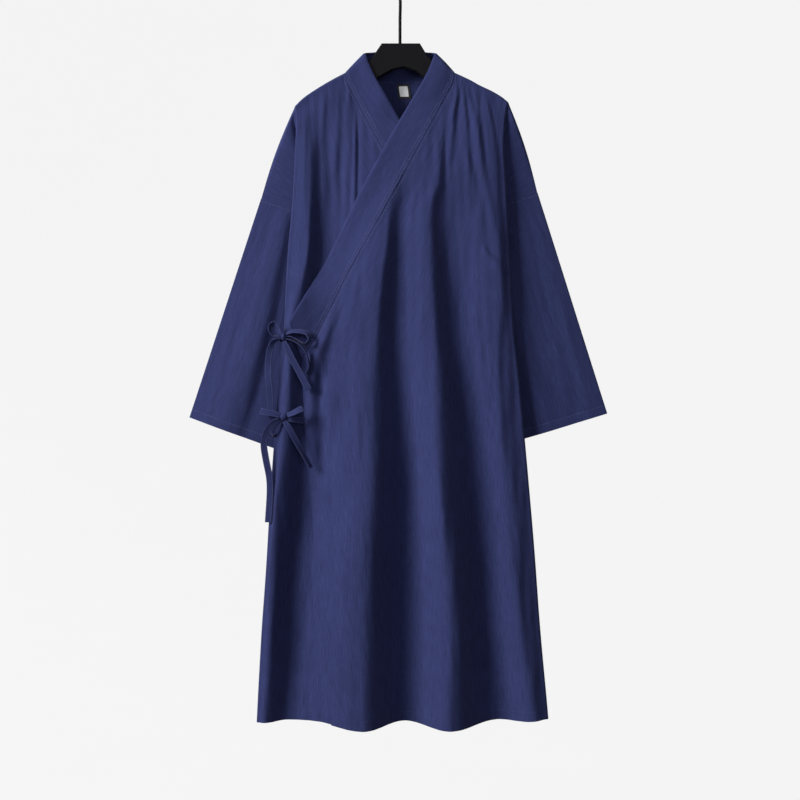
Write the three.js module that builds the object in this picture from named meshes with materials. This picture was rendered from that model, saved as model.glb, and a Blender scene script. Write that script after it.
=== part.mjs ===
// A kimono wrap dress hanging on a flat hanger, in millimetres.
// Origin: the seat of the hook, where it rests on a rail. +X is the viewer's right, -Y the front, +Z up.
import * as THREE from 'three';

// Cloth
const CLOTH_WALL = 1.4;
const BAND_WALL = 2.4;
const BAND_BULGE = 0.8;
const SEAM_GAP = 0.3;
const NECK_CORNER_GAP = 0.8;
const BAND_GAP = SEAM_GAP + 0.1;
const OUTER_LIFT = -4;
const UNDER_LIFT = 2;
const UNDER_RELAX = 0.7;
const UNDERLAP_SHARE = 0.93;
const UNDER_COLUMN_POWER = 1.6;

// Sleeves
const ARMHOLE_WIDTH = 168;
const CUFF_WIDTH = 171;
const ARMHOLE_HALF_DEPTH = 7;
const CUFF_HALF_DEPTH = 9;
const ARMHOLE_START_Y = 3;
const UNDERARM_Y = 12;
const CUFF_Y = 9;
const UNDERARM_EASE = 9;
const SLEEVE_FOLD = 3.2;
const SLEEVE_ROUNDNESS = 0.8;
const SLEEVE_GAP = SEAM_GAP + 0.05;
const SLEEVE_CREST_WIDTH = 0.16;
const SLEEVE_TROUGH_WIDTH = 0.14;

// Mesh fineness of the cloth
const FRONT_COLUMNS = 17;
const RETURN_COLUMNS = 3;
const DROP_COLUMNS = 4;
const SLEEVE_RINGS = 11;
const SLEEVE_HALF_COLUMNS = 10;

// Side folds: how far behind the front edge the folded cloth comes back, and its rounding
const OUTER_NOSE = 12;
const UNDER_NOSE = 6;
const BACK_NOSE = -6;
const EDGE_ROUND = 3.5;
const BACK_EDGE_INSET = 7;
const NOSE_SHARE = 0.25;
const RETURN_START_SHARE = 0.4;
const RETURN_INSET = 0.5;
const EDGE_BLEND_ROWS = 4;
const SETTLE_ROWS = 6;

// The dropped shoulder: the bow of its seam, where the side pleat starts on it and how the pleat bends
const DROP_BOW = 4;
const DROP_SEAM_ROWS = 3;
const PLEAT_START = 0.03;
const PLEAT_BEND_INWARD = 2;
const PLEAT_BEND_DOWN = 96;

// Drops below a seam over which the cloth passes from the hanger to its folds
const FRONT_BLEND = { start: 6, span: 40 };
const LIFT_BLEND = { start: 15, span: 60 };
const BACK_BLEND = { start: 6, span: 70 };
const BACK_SPREAD_ROWS = 8;
const LEAST_DROP = 0.8;
const SHOULDER_BLEND = 4;

// Where the outer front begins to press the under front flat, past its edge and below the shoulder
const COVER_ACROSS = { start: 5, span: 30 };
const COVER_DOWN = { start: 300, span: 120 };

// Hanger
const HANGER_HALF_THICKNESS = 3.5;
const HANGER_BEVEL = 1.5;
const HANGER_CLEAR = 3.2;
const HOOK_WIRE_RADIUS = 2.8;
const HOOK_INNER_RADIUS = 19;
const HOOK_OPEN_ANGLE = -20;
const HOOK_END_ANGLE = 205;
const HOOK_STEM_TOP = -66;
const HOOK_STEM_BOTTOM = -149.7;
const HOOK_ANGLE_STEP = 15;
const HOOK_STEPS = 34;
const HOOK_BEND = [[-12, -44], [-3, -55]];

// Outline of the hanger as x, z. Between the lists its arms follow the shoulder seams at the given x.
const HANGER_NECK_RIGHT = [[36, -150], [44, -163], [50, -173], [90, -205]];
const HANGER_ARM_RIGHT = [102, 118, 136, 154, 172, 186];
const HANGER_UNDERSIDE = [
  [191, -261], [189, -268], [182, -272], [150, -262], [100, -244], [50, -217], [30, -201], [7, -193],
  [-15, -198], [-48, -217], [-100, -244], [-146, -266], [-177, -278], [-184, -274], [-186, -268],
];
const HANGER_ARM_LEFT = [180, 168, 152, 136, 118, 102];
const HANGER_NECK_LEFT = [[-90, -206], [-50, -176], [-44, -166], [-33, -150]];

// Ties
const TIE_WIDTH = 11.5;
const TIE_WALL = 1.6;
const KNOT_COLUMNS = 12;
const KNOT_ROWS = 8;

// The crosswise form of the fronts: x of each fold line, a row per height
const FRONT_LINES = [
  'left', 'c_crest', 'c_trough', 'a_crest', 'a_trough', 'b_crest', 'b_trough', 'r_crest', 'right',
];
const FRONT_X = [
  // z, left, c_crest, c_trough, a_crest, a_trough, b_crest, b_trough, r_crest, right
  [-262, -186, -169, -148, -4, 7, 72, 83, 146, 190],
  [-330, -189, -166, -144, -6, 8, 74, 83, 153, 188],
  [-400, -192, -164, -142, -11, 8, 68, 85, 162, 191],
  [-460, -196, -164, -144, -22, 0, 50, 81, 166, 194],
  [-526, -202, -167, -146, -29, -3, 50, 85, 176, 197],
  [-620, -207, -187, -160, -40, -9, 58, 92, 180, 202],
  [-670, -209, -198, -175, -42, -10, 61, 95, 176, 205],
  [-742, -216, -200, -176, -47, -5, 66, 108, 175, 213],
  [-850, -225, -207, -172, -51, 5, 68, 128, 184, 223],
  [-976, -233, -221, -171, -55, 13, 74, 140, 198, 234],
  [-1088, -239, -231, -187, -63, 13, 84, 149, 203, 243],
  [-1207, -247, -234, -193, -65, 11, 91, 155, 218, 251],
  [-1385, -256, -242, -205, -67, 9, 88, 174, 240, 265],
];

// The depth of the same fold lines (more negative stands further forward)
const FRONT_Y = [
  // z, left, c_crest, c_trough, a_crest, a_trough, b_crest, b_trough, r_crest, right
  [-262, -8, -9, -8, -9, -9, -9, -8, -9, -8],
  [-330, -14, -17, -11, -20, -19, -20, -17, -18, -12],
  [-400, -16, -21, -9, -25, -23, -27, -20, -22, -14],
  [-460, -17, -24, -8, -28, -19, -31, -17, -24, -15],
  [-526, -18, -27, -6, -32, -16, -35, -15, -26, -16],
  [-620, -20, -27, -12, -35, -13, -39, -12, -27, -17],
  [-670, -21, -27, -15, -37, -12, -40, -11, -27, -18],
  [-742, -22, -28, -13, -41, -9, -43, -9, -28, -19],
  [-850, -24, -32, -11, -45, -5, -48, -5, -30, -21],
  [-976, -30, -38, -4, -52, -2, -54, -2, -33, -24],
  [-1088, -36, -42, -10, -58, -2, -56, -3, -38, -27],
  [-1207, -40, -46, -15, -62, -4, -60, -6, -44, -32],
  [-1385, -42, -48, -22, -66, -8, -68, -6, -52, -40],
];

// Depth at which the covered part of the under front hangs, flatter than the outer front
const UNDER_REST = [
  // z, y
  [-262, -8],
  [-330, -13],
  [-400, -15],
  [-526, -12],
  [-742, -7],
  [-976, -1],
  [-1385, -4],
];

// The back's fold lines: x and depth, a row per height
const BACK_LINES = ['left', 'l_crest', 'l_trough', 'm_crest', 'r_trough', 'r_crest', 'right'];
const BACK_X = [
  // z, left, l_crest, l_trough, m_crest, r_trough, r_crest, right
  [-262, -190, -150, -95, -10, 60, 130, 194],
  [-400, -192, -158, -96, -12, 66, 144, 196],
  [-500, -196, -162, -95, -15, 70, 150, 196],
  [-850, -220, -172, -90, -20, 80, 165, 218],
  [-1090, -236, -180, -92, -24, 84, 176, 238],
  [-1385, -250, -190, -95, -25, 85, 185, 258],
];
const BACK_Y = [
  // z, left, l_crest, l_trough, m_crest, r_trough, r_crest, right
  [-262, 8, 10, 18, 30, 26, 12, 8],
  [-400, 21, 26, 30, 34, 31, 28, 21],
  [-500, 30, 36, 32, 38, 33, 38, 30],
  [-850, 34, 45, 26, 47, 28, 45, 34],
  [-1090, 38, 50, 22, 52, 24, 50, 38],
  [-1385, 40, 53, 20, 55, 22, 53, 40],
];

// The hem of the fronts dips at the crests
const HEM = [
  // x, z
  [-257, -1372],
  [-150, -1371],
  [-65, -1382],
  [9, -1375],
  [90, -1381],
  [175, -1373],
  [266, -1365],
];
const BACK_HEM_Z = -1370;

// The seam between a front and the collar band, then the front's free edge, for the outer front.
// The under front has the same line mirrored.
const FRONT_SEAM = [
  // z, x
  [-203, 98],
  [-222, 95],
  [-250, 80],
  [-296, 56],
  [-348, 28],
  [-400, 0],
  [-478, -43],
  [-561, -90],
  [-608, -114],
  [-680, -150],
  [-721, -178],
  [-800, -174],
  [-884, -170],
  [-976, -161],
  [-1064, -153],
  [-1385, -122],
];

// The free edge of the collar band, for the same side
const BAND_EDGE = [
  // z, x
  [-167, 64],
  [-197, 53],
  [-226, 38],
  [-270, 12],
  [-320, -17],
  [-374, -46],
  [-416, -69],
  [-481, -102],
  [-539, -130],
  [-580, -155],
  [-625, -181],
  [-655, -199],
];

// Where the shoulder seam meets the band
const NECK_SIDE = { x: 98, z: -203 };
const NECK_MIDDLE = { y: 29.7, z: -213 };
const BAND_MIDDLE = { y: 24.2, z: -160 };

// The neck: seam and free edge of the band from the shoulder to the middle of the back
const NECK = [
  // seam x, y, z, free edge x, y, z
  { sx: 98, sy: 0, sz: -203, fx: 64, fy: -1, fz: -167 },
  { sx: 94, sy: 10, sz: -206, fx: 61, fy: 7, fz: -165 },
  { sx: 82, sy: 18, sz: -209, fx: 53, fy: 14, fz: -163 },
  { sx: 62, sy: 24, sz: -211, fx: 41, fy: 19, fz: -161 },
  { sx: 36, sy: 28, sz: -212.5, fx: 25, fy: 22, fz: -160 },
  { sx: 12, sy: 29.5, sz: -213, fx: 8, fy: 24, fz: -160 },
];

// Rows of the fronts: height at the inner line, height at the side edge, the place on the pleat and on
// the armhole (0 at the shoulder, 1 at the underarm), the pleat's depth on the fronts and on the back,
// how far the side fold is formed
const ROWS = [
  { inner: -203, edge: 0, pleat: 0, arm: 0, pleatY: -0.15, backY: 0.15, fold: 0 },
  { inner: -203.8, edge: -0.8, pleat: 0.01, arm: 0.012, pleatY: -2.2, backY: 2.2, fold: 0 },
  { inner: -208, edge: -5, pleat: 0.04, arm: 0.05, pleatY: -4, backY: 5, fold: 0.1 },
  { inner: -222, edge: -21, pleat: 0.12, arm: 0.14, pleatY: -3.5, backY: 7.5, fold: 0.35 },
  { inner: -245, edge: -51, pleat: 0.25, arm: 0.28, pleatY: -1.5, backY: 9.5, fold: 0.7 },
  { inner: -275, edge: -86, pleat: 0.4, arm: 0.42, pleatY: 0, backY: 11.5, fold: 1 },
  { inner: -308, edge: -121, pleat: 0.55, arm: 0.56, pleatY: 2, backY: 13.5, fold: 1 },
  { inner: -345, edge: -156, pleat: 0.7, arm: 0.7, pleatY: 4.5, backY: 15, fold: 1 },
  { inner: -385, edge: -191, pleat: 0.85, arm: 0.85, pleatY: 7.5, backY: 15, fold: 1 },
  { inner: -428, edge: -226, pleat: 1, arm: 1, pleatY: 12, backY: 12, fold: 1 },
  { inner: -475, edge: -266 },
  { inner: -525, edge: -308 },
  { inner: -578, edge: -351 },
  { inner: -630, edge: -391 },
  { inner: -680, edge: -428 },
  { inner: -721, edge: -464 },
  { inner: -775, edge: -514 },
  { inner: -835, edge: -572 },
  { inner: -900, edge: -636 },
  { inner: -975, edge: -711 },
  { inner: -1055, edge: -791 },
  { inner: -1140, edge: -876 },
  { inner: -1225, edge: -961 },
  { inner: -1308, edge: -1044 },
  { inner: -1385, edge: -1121 },
];
const UNDERARM_ROW = 9;
const BAND_END_ROW = 15;
const LOWEST = -1385;

// Heights of the band's free edge that go with the first rows
const BAND_EDGE_Z = [
  -167, -168, -172, -188, -215, -247, -281, -319, -360, -404, -452, -503, -552, -592, -626, -655,
];

// Depth of the free edge where it stands up beside the neck
const BAND_EDGE_Y = [-1, -4, -7.5, -9.5, -11, -14];

// Middle line of the back at the same rows
const BACK_MIDDLE_Z = [
  -213, -214, -218, -232, -256, -287, -322, -360, -400, -443, -490, -540, -590,
  -640, -685, -728, -778, -836, -900, -975, -1055, -1140, -1225, -1308, -1385,
];
const BACK_SHOULDER_COLUMNS = 5;

// The two bows. Place of each knot and its half sizes; then its strands, each a strip of cloth through
// rows of: right, up, towards the viewer (from the knot), share of the full width, turn, tilt.
// Turn is 0 where the strip lies flat to the viewer and 90 where it stands on edge. A tilt names the
// direction across the strip in the front plane; without it the strip lies square to its run.
const BOWS = [
  {
    name: 'upper',
    knot: { x: -209, y: -34, z: -683, halfX: 4.3, halfY: 4.6, halfZ: 6.9 },
    strands: {
      loop_left: [
        [-5, 4, 0, 0.6, 75], [-10, 14, 0, 0.9, 72], [-16, 23, 1, 1, 62], [-22.5, 21, 1, 1, 66],
        [-25, 12, 0, 1, 75], [-19, 3, 0, 0.9, 78], [-11, 0.5, 0, 0.8, 78], [-5.2, 0.3, 0, 0.6, 78],
      ],
      loop_right: [
        [5, 4.2, 0, 0.6, 75], [14, 8.5, 0, 0.8, 72], [28, 9.5, 0, 1, 68], [43, 5.5, 0, 1, 66],
        [47.5, -5, 0, 1, 68], [40, -12.5, 0, 1, 74], [25, -5.5, 0, 0.9, 78], [13, -0.5, 0, 0.8, 78],
        [5.2, 0.4, 0, 0.6, 78],
      ],
      tail_left: [
        [-4.8, -3.6, 0, 0.6, 78], [-11, -5, 0.5, 0.8, 66], [-19, -9.5, 1, 0.9, 40], [-24, -24, 0, 1, 12],
        [-27, -48, -2, 1, 4], [-27.5, -66, -3, 1, -8], [-25, -97, -5, 1, 6], [-23, -129, -6, 1, 4],
        [-20, -149, -6, 1, 0],
      ],
      tail_right: [
        [0.5, -7.7, 0, 0.6, 8], [6, -18, 1, 0.85, 4], [15, -38, 0, 1, 0], [30, -66, -3, 1, -4],
        [45, -94.5, -6, 1.05, 0],
      ],
      lead_edge: [
        [4.4, -4, 0, 0.6, 80], [15, -6.5, 0, 0.8, 82], [33, -18, -1, 0.95, 84], [42.5, -35, -3, 1, 84],
        [45, -54, -6.6, 1, 84], [40, -65, -9, 1, 84],
      ],
      lead_side: [
        [-0.6, 0, -5.9, 0.6, 0, 90], [-5.8, -1, -9.5, 0.7, 0, 90], [-8, -2, -16, 0.8, 0, 90],
        [-7, -3, -23, 0.9, 0, 90], [0, -4, -29, 1, 0, 90], [15, -6, -33, 1, 0, 88], [45, -9, -37.5, 1, 0, 86],
        [76, -12, -42.8, 1, 0, 84],
      ],
    },
  },
  {
    name: 'lower',
    knot: { x: -208, y: -37, z: -826, halfX: 6.4, halfY: 5, halfZ: 6.9 },
    strands: {
      loop_left: [
        [-6.5, 2.5, 1.6, 0.65, 12], [-18, 5.5, 2.4, 0.95, 6], [-33, 8.5, 2.2, 1, 4], [-40.5, 10, 0.4, 1, 4],
        [-33, 8.5, -1.6, 1, 4], [-18, 5.5, -2, 0.95, 6], [-6.5, 2.5, -1.6, 0.65, 12],
      ],
      loop_right: [
        [6.6, 2.2, 1.8, 0.65, 30], [15, 5.5, 3, 0.9, 34], [27, 11.5, 3, 1, 26], [34, 14.5, 0.5, 1, 18],
        [27, 11.5, -2.2, 1, 22], [15, 5.5, -2.4, 0.9, 26], [6.6, 2.2, -1.8, 0.65, 24],
      ],
      tail_left: [
        [-6.4, -3.6, 1, 0.6, 40], [-16, -8, 1.5, 0.8, 26], [-28, -20, 0.5, 0.9, 20], [-33.5, -34, 0, 1, 16],
        [-35.5, -51, -0.5, 1, 12], [-32.5, -73, -1, 1, 8], [-25.5, -110, -2, 1, 4], [-24.5, -132, -2, 1, 2],
        [-27.5, -189, 0, 1, 0],
      ],
      tail_right: [
        [1, -7.8, 0, 0.65, 6], [8, -18, 0.5, 0.9, 10], [22, -44, -3, 1, 26], [36, -70, -8, 0.95, 48],
        [48, -92, -13, 0.95, 60],
      ],
      lead_edge: [
        [6.9, -3.6, -0.5, 0.6, 0], [14, -5, -1, 0.8, 0], [24, -6, -7, 1, 0], [36, -7, -15.4, 1, 0],
      ],
      lead_side: [
        [-4.2, -6.2, -3, 0.5, 0, 145], [-11, -14, -3.8, 0.7, 0, 145], [-17.5, -25, -5.5, 0.8, 0, 145],
        [-22, -31, -11, 0.85, 0, 140], [-23, -33, -18, 0.85, 0, 130], [-20.5, -35, -26, 0.9, 0, 115],
        [-6, -36, -33, 1, 0, 100], [25, -38, -40, 1, 0, 92], [48, -40, -46, 1, 0, 90],
      ],
    },
  },
];
const STRAND_STEPS = 3;

// The label inside the back of the neck
const LABEL = { left: -6, right: 17, top: -217, bottom: -244, wall: 0.8, out: 0.3 };
const LABEL_TAB = { left: -3, right: 13, top: -221, bottom: -240, wall: 0.8, out: 1.4 };
const LABEL_COLUMNS = 4;

// The two sides, measured outward from the middle
const SIDES = {
  left: {
    sign: -1,
    tip: { x: 190, z: -264 },
    armTop: { x: 252, z: -431 },
    armInward: { x: -0.947, z: -0.322 },
    cuffTop: { x: 383, z: -828 },
    cuffInward: { x: -0.94, z: -0.343 },
    shoulder: [[98, -203], [121, -215], [153, -234], [177, -251], [190, -264]],
    creaseCrest: 0.3,
    creaseTrough: 0.66,
  },
  right: {
    sign: 1,
    tip: { x: 196, z: -257 },
    armTop: { x: 249.5, z: -420 },
    armInward: { x: -0.951, z: -0.309 },
    cuffTop: { x: 377, z: -821 },
    cuffInward: { x: -0.957, z: -0.29 },
    shoulder: [[98, -203], [126, -216], [144, -226], [167, -237], [185, -248], [196, -257]],
    creaseCrest: 0.72,
    creaseTrough: 0.3,
  },
};

// Side seam: how far it moves outward below the underarm, and its depth
const SIDE_SEAM_OUT = [[0, 0], [115, 9], [265, 33], [415, 66], [565, 99], [715, 124], [900, 146]];
const SIDE_SEAM_Y = [[0, 12], [400, 10], [900, 4]];

function mix(a, b, t) {
  return a + (b - a) * t;
}

function clamp01(t) {
  return Math.min(1, Math.max(0, t));
}

function smooth(t) {
  const s = clamp01(t);
  return s * s * (3 - 2 * s);
}

// A smooth line through table rows of [place, value], without overshoot
function track(rows) {
  const sorted = rows.slice().sort((a, b) => a[0] - b[0]);
  const count = sorted.length;
  const steps = [];
  for (let i = 0; i < count - 1; i += 1) {
    steps.push((sorted[i + 1][1] - sorted[i][1]) / (sorted[i + 1][0] - sorted[i][0]));
  }
  const tangents = [steps[0]];
  for (let i = 1; i < count - 1; i += 1) {
    const product = steps[i - 1] * steps[i];
    tangents.push(product <= 0 ? 0 : (2 * product) / (steps[i - 1] + steps[i]));
  }
  tangents.push(steps[count - 2]);
  return (place) => {
    if (place <= sorted[0][0]) return sorted[0][1];
    if (place >= sorted[count - 1][0]) return sorted[count - 1][1];
    let i = 0;
    while (place > sorted[i + 1][0]) i += 1;
    const span = sorted[i + 1][0] - sorted[i][0];
    const t = (place - sorted[i][0]) / span;
    const t2 = t * t;
    const t3 = t2 * t;
    return (
      (2 * t3 - 3 * t2 + 1) * sorted[i][1] +
      (t3 - 2 * t2 + t) * span * tangents[i] +
      (3 * t2 - 2 * t3) * sorted[i + 1][1] +
      (t3 - t2) * span * tangents[i + 1]
    );
  };
}

// Depth over x and z from the fold lines: half a cosine wave between neighbouring lines
function foldedForm(xRows, yRows, lineCount) {
  const xs = [];
  const ys = [];
  for (let i = 1; i <= lineCount; i += 1) {
    xs.push(track(xRows.map((row) => [row[0], row[i]])));
    ys.push(track(yRows.map((row) => [row[0], row[i]])));
  }
  return (x, z) => {
    const places = xs.map((line) => line(z));
    if (x <= places[0]) return ys[0](z);
    if (x >= places[lineCount - 1]) return ys[lineCount - 1](z);
    let i = 0;
    while (x > places[i + 1]) i += 1;
    const t = (x - places[i]) / (places[i + 1] - places[i]);
    return mix(ys[i](z), ys[i + 1](z), (1 - Math.cos(Math.PI * t)) / 2);
  };
}

const frontForm = foldedForm(FRONT_X, FRONT_Y, FRONT_LINES.length);
const backForm = foldedForm(BACK_X, BACK_Y, BACK_LINES.length);
const frontLeftEdge = track(FRONT_X.map((row) => [row[0], row[1]]));
const frontRightEdge = track(FRONT_X.map((row) => [row[0], row[FRONT_LINES.length]]));
const frontSeam = track(FRONT_SEAM);
const bandEdge = track(BAND_EDGE);
const hem = track(HEM);
const underRest = track(UNDER_REST);
const sideSeamOut = track(SIDE_SEAM_OUT);
const sideSeamY = track(SIDE_SEAM_Y);
const neckDepth = track([[0, NECK_MIDDLE.y], ...NECK.map((row) => [row.sx, row.sy])]);

// Depth of cloth that lies over the hanger: y against the drop below the shoulder line
const overHanger = track([[0, 0.15], [0.8, 5.2], [5, 6.6], [30, 6.6]]);

function shoulderLine(side) {
  return track(side.shoulder);
}

function vector(x, y, z) {
  return new THREE.Vector3(x, y, z);
}

function underarm(side) {
  return {
    x: side.armTop.x + ARMHOLE_WIDTH * side.armInward.x,
    z: side.armTop.z + ARMHOLE_WIDTH * side.armInward.z,
  };
}

// Direction across a sleeve from its outer to its inner edge
function armAcross(side) {
  return vector(side.sign * side.armInward.x, 0, side.armInward.z);
}

// Direction down a sleeve, square to the armhole
function armDown(side) {
  return vector(side.sign * -side.armInward.z, 0, side.armInward.x);
}

// Half of a sleeve's depth at a place across it
function armHalf(place, deepest) {
  return deepest * Math.pow(Math.sin(Math.PI * clamp01(place)), SLEEVE_ROUNDNESS);
}

// A cloth being laid out: middle surface points, faces, and the directions held at some points
function newCloth() {
  return { points: [], faces: [], flatTo: new Map(), normals: new Map() };
}

function addPoint(cloth, point) {
  cloth.points.push(point);
  return cloth.points.length - 1;
}

function addFace(cloth, ...corners) {
  const distinct = corners.filter((corner, i) => corners.indexOf(corner) === i);
  for (let i = 1; i + 1 < distinct.length; i += 1) {
    cloth.faces.push([distinct[0], distinct[i], distinct[i + 1]]);
  }
}

function flatten(cloth, index, direction) {
  if (!cloth.flatTo.has(index)) cloth.flatTo.set(index, []);
  cloth.flatTo.get(index).push(direction);
}

// Faces between two rows of point numbers of the same length
function addStrip(cloth, upper, lower) {
  for (let i = 0; i + 1 < upper.length; i += 1) {
    addFace(cloth, upper[i], lower[i], lower[i + 1], upper[i + 1]);
  }
}

function clothNormals(cloth) {
  const normals = cloth.points.map(() => vector(0, 0, 0));
  for (const [a, b, c] of cloth.faces) {
    const pa = cloth.points[a];
    const pb = cloth.points[b];
    const pc = cloth.points[c];
    const face = pb.clone().sub(pa).cross(pc.clone().sub(pa));
    if (face.lengthSq() === 0) continue;
    face.normalize();
    for (const [i, p, q] of [[a, pb, pc], [b, pc, pa], [c, pa, pb]]) {
      const corner = p.clone().sub(cloth.points[i]).angleTo(q.clone().sub(cloth.points[i]));
      normals[i].addScaledVector(face, corner);
    }
  }
  normals.forEach((normal, i) => {
    for (const direction of cloth.flatTo.get(i) || []) {
      normal.addScaledVector(direction, -normal.dot(direction) / direction.lengthSq());
    }
    if (cloth.normals.has(i)) normal.copy(cloth.normals.get(i));
    normal.normalize();
  });
  return normals;
}

// The closed wall of a cloth: both skins and the edges between them
function clothWall(cloth, wall) {
  const normals = clothNormals(cloth);
  const count = cloth.points.length;
  const positions = [];
  for (const side of [0.5, -0.5]) {
    cloth.points.forEach((point, i) => {
      positions.push(...point.clone().addScaledVector(normals[i], side * wall).toArray());
    });
  }
  const triangles = [];
  const edges = new Map();
  for (const [a, b, c] of cloth.faces) {
    triangles.push([a, b, c], [a + count, c + count, b + count]);
    for (const [from, to] of [[a, b], [b, c], [c, a]]) {
      edges.set(`${from},${to}`, [from, to]);
    }
  }
  for (const [from, to] of edges.values()) {
    if (!edges.has(`${to},${from}`)) {
      triangles.push([to, from, from + count], [to, from + count, to + count]);
    }
  }
  return solid(positions, triangles);
}

function solid(positions, triangles) {
  let volume = 0;
  const at = (i) => vector(positions[3 * i], positions[3 * i + 1], positions[3 * i + 2]);
  for (const [a, b, c] of triangles) {
    volume += at(a).dot(at(b).cross(at(c)));
  }
  const faces = volume < 0 ? triangles.map(([a, b, c]) => [a, c, b]) : triangles;
  const geometry = new THREE.BufferGeometry();
  geometry.setAttribute('position', new THREE.Float32BufferAttribute(positions, 3));
  geometry.setIndex(faces.flat());
  geometry.computeVertexNormals();
  return geometry;
}

// The armhole at a place from shoulder to underarm, for the front half (facing -1) or back half (+1)
function armholePoint(side, place, facing) {
  const x = side.armTop.x + place * ARMHOLE_WIDTH * side.armInward.x;
  const z = side.armTop.z + place * ARMHOLE_WIDTH * side.armInward.z;
  const middle = mix(ARMHOLE_START_Y, UNDERARM_Y, place);
  const half = Math.max(SEAM_GAP / 2, armHalf(place, ARMHOLE_HALF_DEPTH));
  return vector(side.sign * x, middle + facing * half, z);
}

// The shoulder seam beyond the hanger's tip, from the pleat to the top of the armhole
function dropLine(side, t, facing) {
  const bow = DROP_BOW * Math.sin(Math.PI * t);
  const start = side.tip;
  const end = side.armTop;
  const length = Math.hypot(end.x - start.x, end.z - start.z);
  const outX = -(end.z - start.z) / length;
  const outZ = (end.x - start.x) / length;
  const x = mix(start.x, end.x, t) + bow * outX;
  const z = mix(start.z, end.z, t) + bow * outZ;
  return vector(side.sign * x, mix(0, ARMHOLE_START_Y, t) + (facing * SEAM_GAP) / 2, z);
}

// The bottom of the side pleat from the shoulder to the underarm (a quadratic curve)
function pleatLine(side, place, y) {
  const start = dropLine(side, PLEAT_START, 0);
  const bend = vector(side.sign * (side.tip.x - PLEAT_BEND_INWARD), 0, side.tip.z - PLEAT_BEND_DOWN);
  const end = underarm(side);
  const a = (1 - place) * (1 - place);
  const b = 2 * place * (1 - place);
  const c = place * place;
  return vector(
    a * start.x + b * bend.x + c * side.sign * end.x,
    y,
    a * start.z + b * bend.z + c * end.z,
  );
}

// How far a row's side fold is formed, 0 at the shoulder and 1 once it hangs free
function foldShare(row) {
  return row.fold === undefined ? 1 : row.fold;
}

// Height of a row at the side edge: below the underarm it settles back to the row's own height
function edgeHeight(side, row, k) {
  const z = side.tip.z + row.edge;
  return k <= UNDERARM_ROW ? z : mix(z, row.inner, smooth((k - UNDERARM_ROW) / SETTLE_ROWS));
}

// Where the folded-back cloth of a row ends: the side pleat above the underarm, the side seam below
function returnEnd(side, row, k, facing, z) {
  if (k < UNDERARM_ROW) return pleatLine(side, row.pleat, facing < 0 ? row.pleatY : row.backY);
  if (k === UNDERARM_ROW) return pleatLine(side, row.pleat, UNDERARM_Y + (facing * SEAM_GAP) / 2);
  const end = underarm(side);
  const below = end.z - z;
  const y = sideSeamY(below) + (facing * SEAM_GAP) / 2;
  return vector(side.sign * (end.x + sideSeamOut(below)), y, z);
}

// A row of the cloth that rounds the side edge and comes back behind it, without its last point
function returnRow(side, edge, inner, nose, folded) {
  const flatNose = edge.clone().lerp(inner, NOSE_SHARE);
  const row = [
    vector(
      edge.x + side.sign * EDGE_ROUND * folded,
      mix(flatNose.y, edge.y + nose / 2, folded),
      mix(flatNose.z, edge.z, folded),
    ),
  ];
  const startX = edge.x - side.sign * RETURN_INSET;
  const startY = edge.y + nose;
  for (let j = 0; j < RETURN_COLUMNS; j += 1) {
    const t = j / RETURN_COLUMNS;
    const fold = vector(mix(startX, inner.x, t), mix(inner.y, startY, 1 - t * t), mix(edge.z, inner.z, t));
    const flat = edge.clone().lerp(inner, RETURN_START_SHARE + (1 - RETURN_START_SHARE) * t);
    row.push(flat.lerp(fold, folded));
  }
  return row;
}

// A point of the dropped shoulder end, between the pleat and the armhole
function dropPoint(side, row, k, facing, inner, t) {
  const outer = armholePoint(side, row.arm, facing);
  if (k === 0) outer.y = ARMHOLE_START_Y + (facing * SEAM_GAP) / 2;
  const point = inner.clone().lerp(outer, t);
  if (k >= DROP_SEAM_ROWS) {
    point.x += side.sign * DROP_BOW * Math.sin(Math.PI * t) * (1 - row.arm);
    return point;
  }
  const line = dropLine(side, mix(PLEAT_START, 1, t), facing);
  const start = pleatLine(side, 0, 0);
  point.x = line.x + (inner.x - start.x) * (1 - t) + (outer.x - line.x) * t;
  point.z = line.z + (inner.z - start.z) * (1 - t) + (outer.z - line.z) * t;
  if (k === 0) point.y = line.y;
  return point;
}

// Everything of a panel beyond its main sheet at one side: the rounded side edge, the cloth folded
// back behind it, and above the underarm the dropped shoulder end out to the armhole.
function addSide(cloth, side, facing, nose, edgePoints, edgeColumn) {
  const outward = armAcross(side).negate();
  const down = armDown(side);
  const yAxis = vector(0, 1, 0);
  let previous = null;
  let previousDrop = null;
  ROWS.forEach((row, k) => {
    const edge = edgePoints[k];
    const inner = returnEnd(side, row, k, facing, edge.z);
    const strip = [edgeColumn[k]];
    const returned = returnRow(side, edge, inner, nose, foldShare(row));
    returned.forEach((point) => strip.push(addPoint(cloth, point)));
    const innerIndex = addPoint(cloth, inner);
    strip.push(innerIndex);
    if (k === 0) strip.forEach((index) => flatten(cloth, index, yAxis));
    if (k >= UNDERARM_ROW) flatten(cloth, innerIndex, yAxis);
    if (k === UNDERARM_ROW) cloth.normals.set(innerIndex, outward.clone());
    if (previous) addStrip(cloth, previous, strip);
    previous = strip;

    if (k > UNDERARM_ROW) return;
    const drop = [innerIndex];
    for (let j = 1; j <= DROP_COLUMNS; j += 1) {
      if (k === UNDERARM_ROW) {
        drop.push(innerIndex);
        continue;
      }
      const index = addPoint(cloth, dropPoint(side, row, k, facing, inner, j / DROP_COLUMNS));
      if (k === 0) flatten(cloth, index, yAxis);
      if (j === DROP_COLUMNS) flatten(cloth, index, down);
      if (k <= 1 && j === DROP_COLUMNS) cloth.normals.set(index, outward.clone());
      drop.push(index);
    }
    if (previousDrop) addStrip(cloth, previousDrop, drop);
    previousDrop = drop;
  });
}

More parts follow.
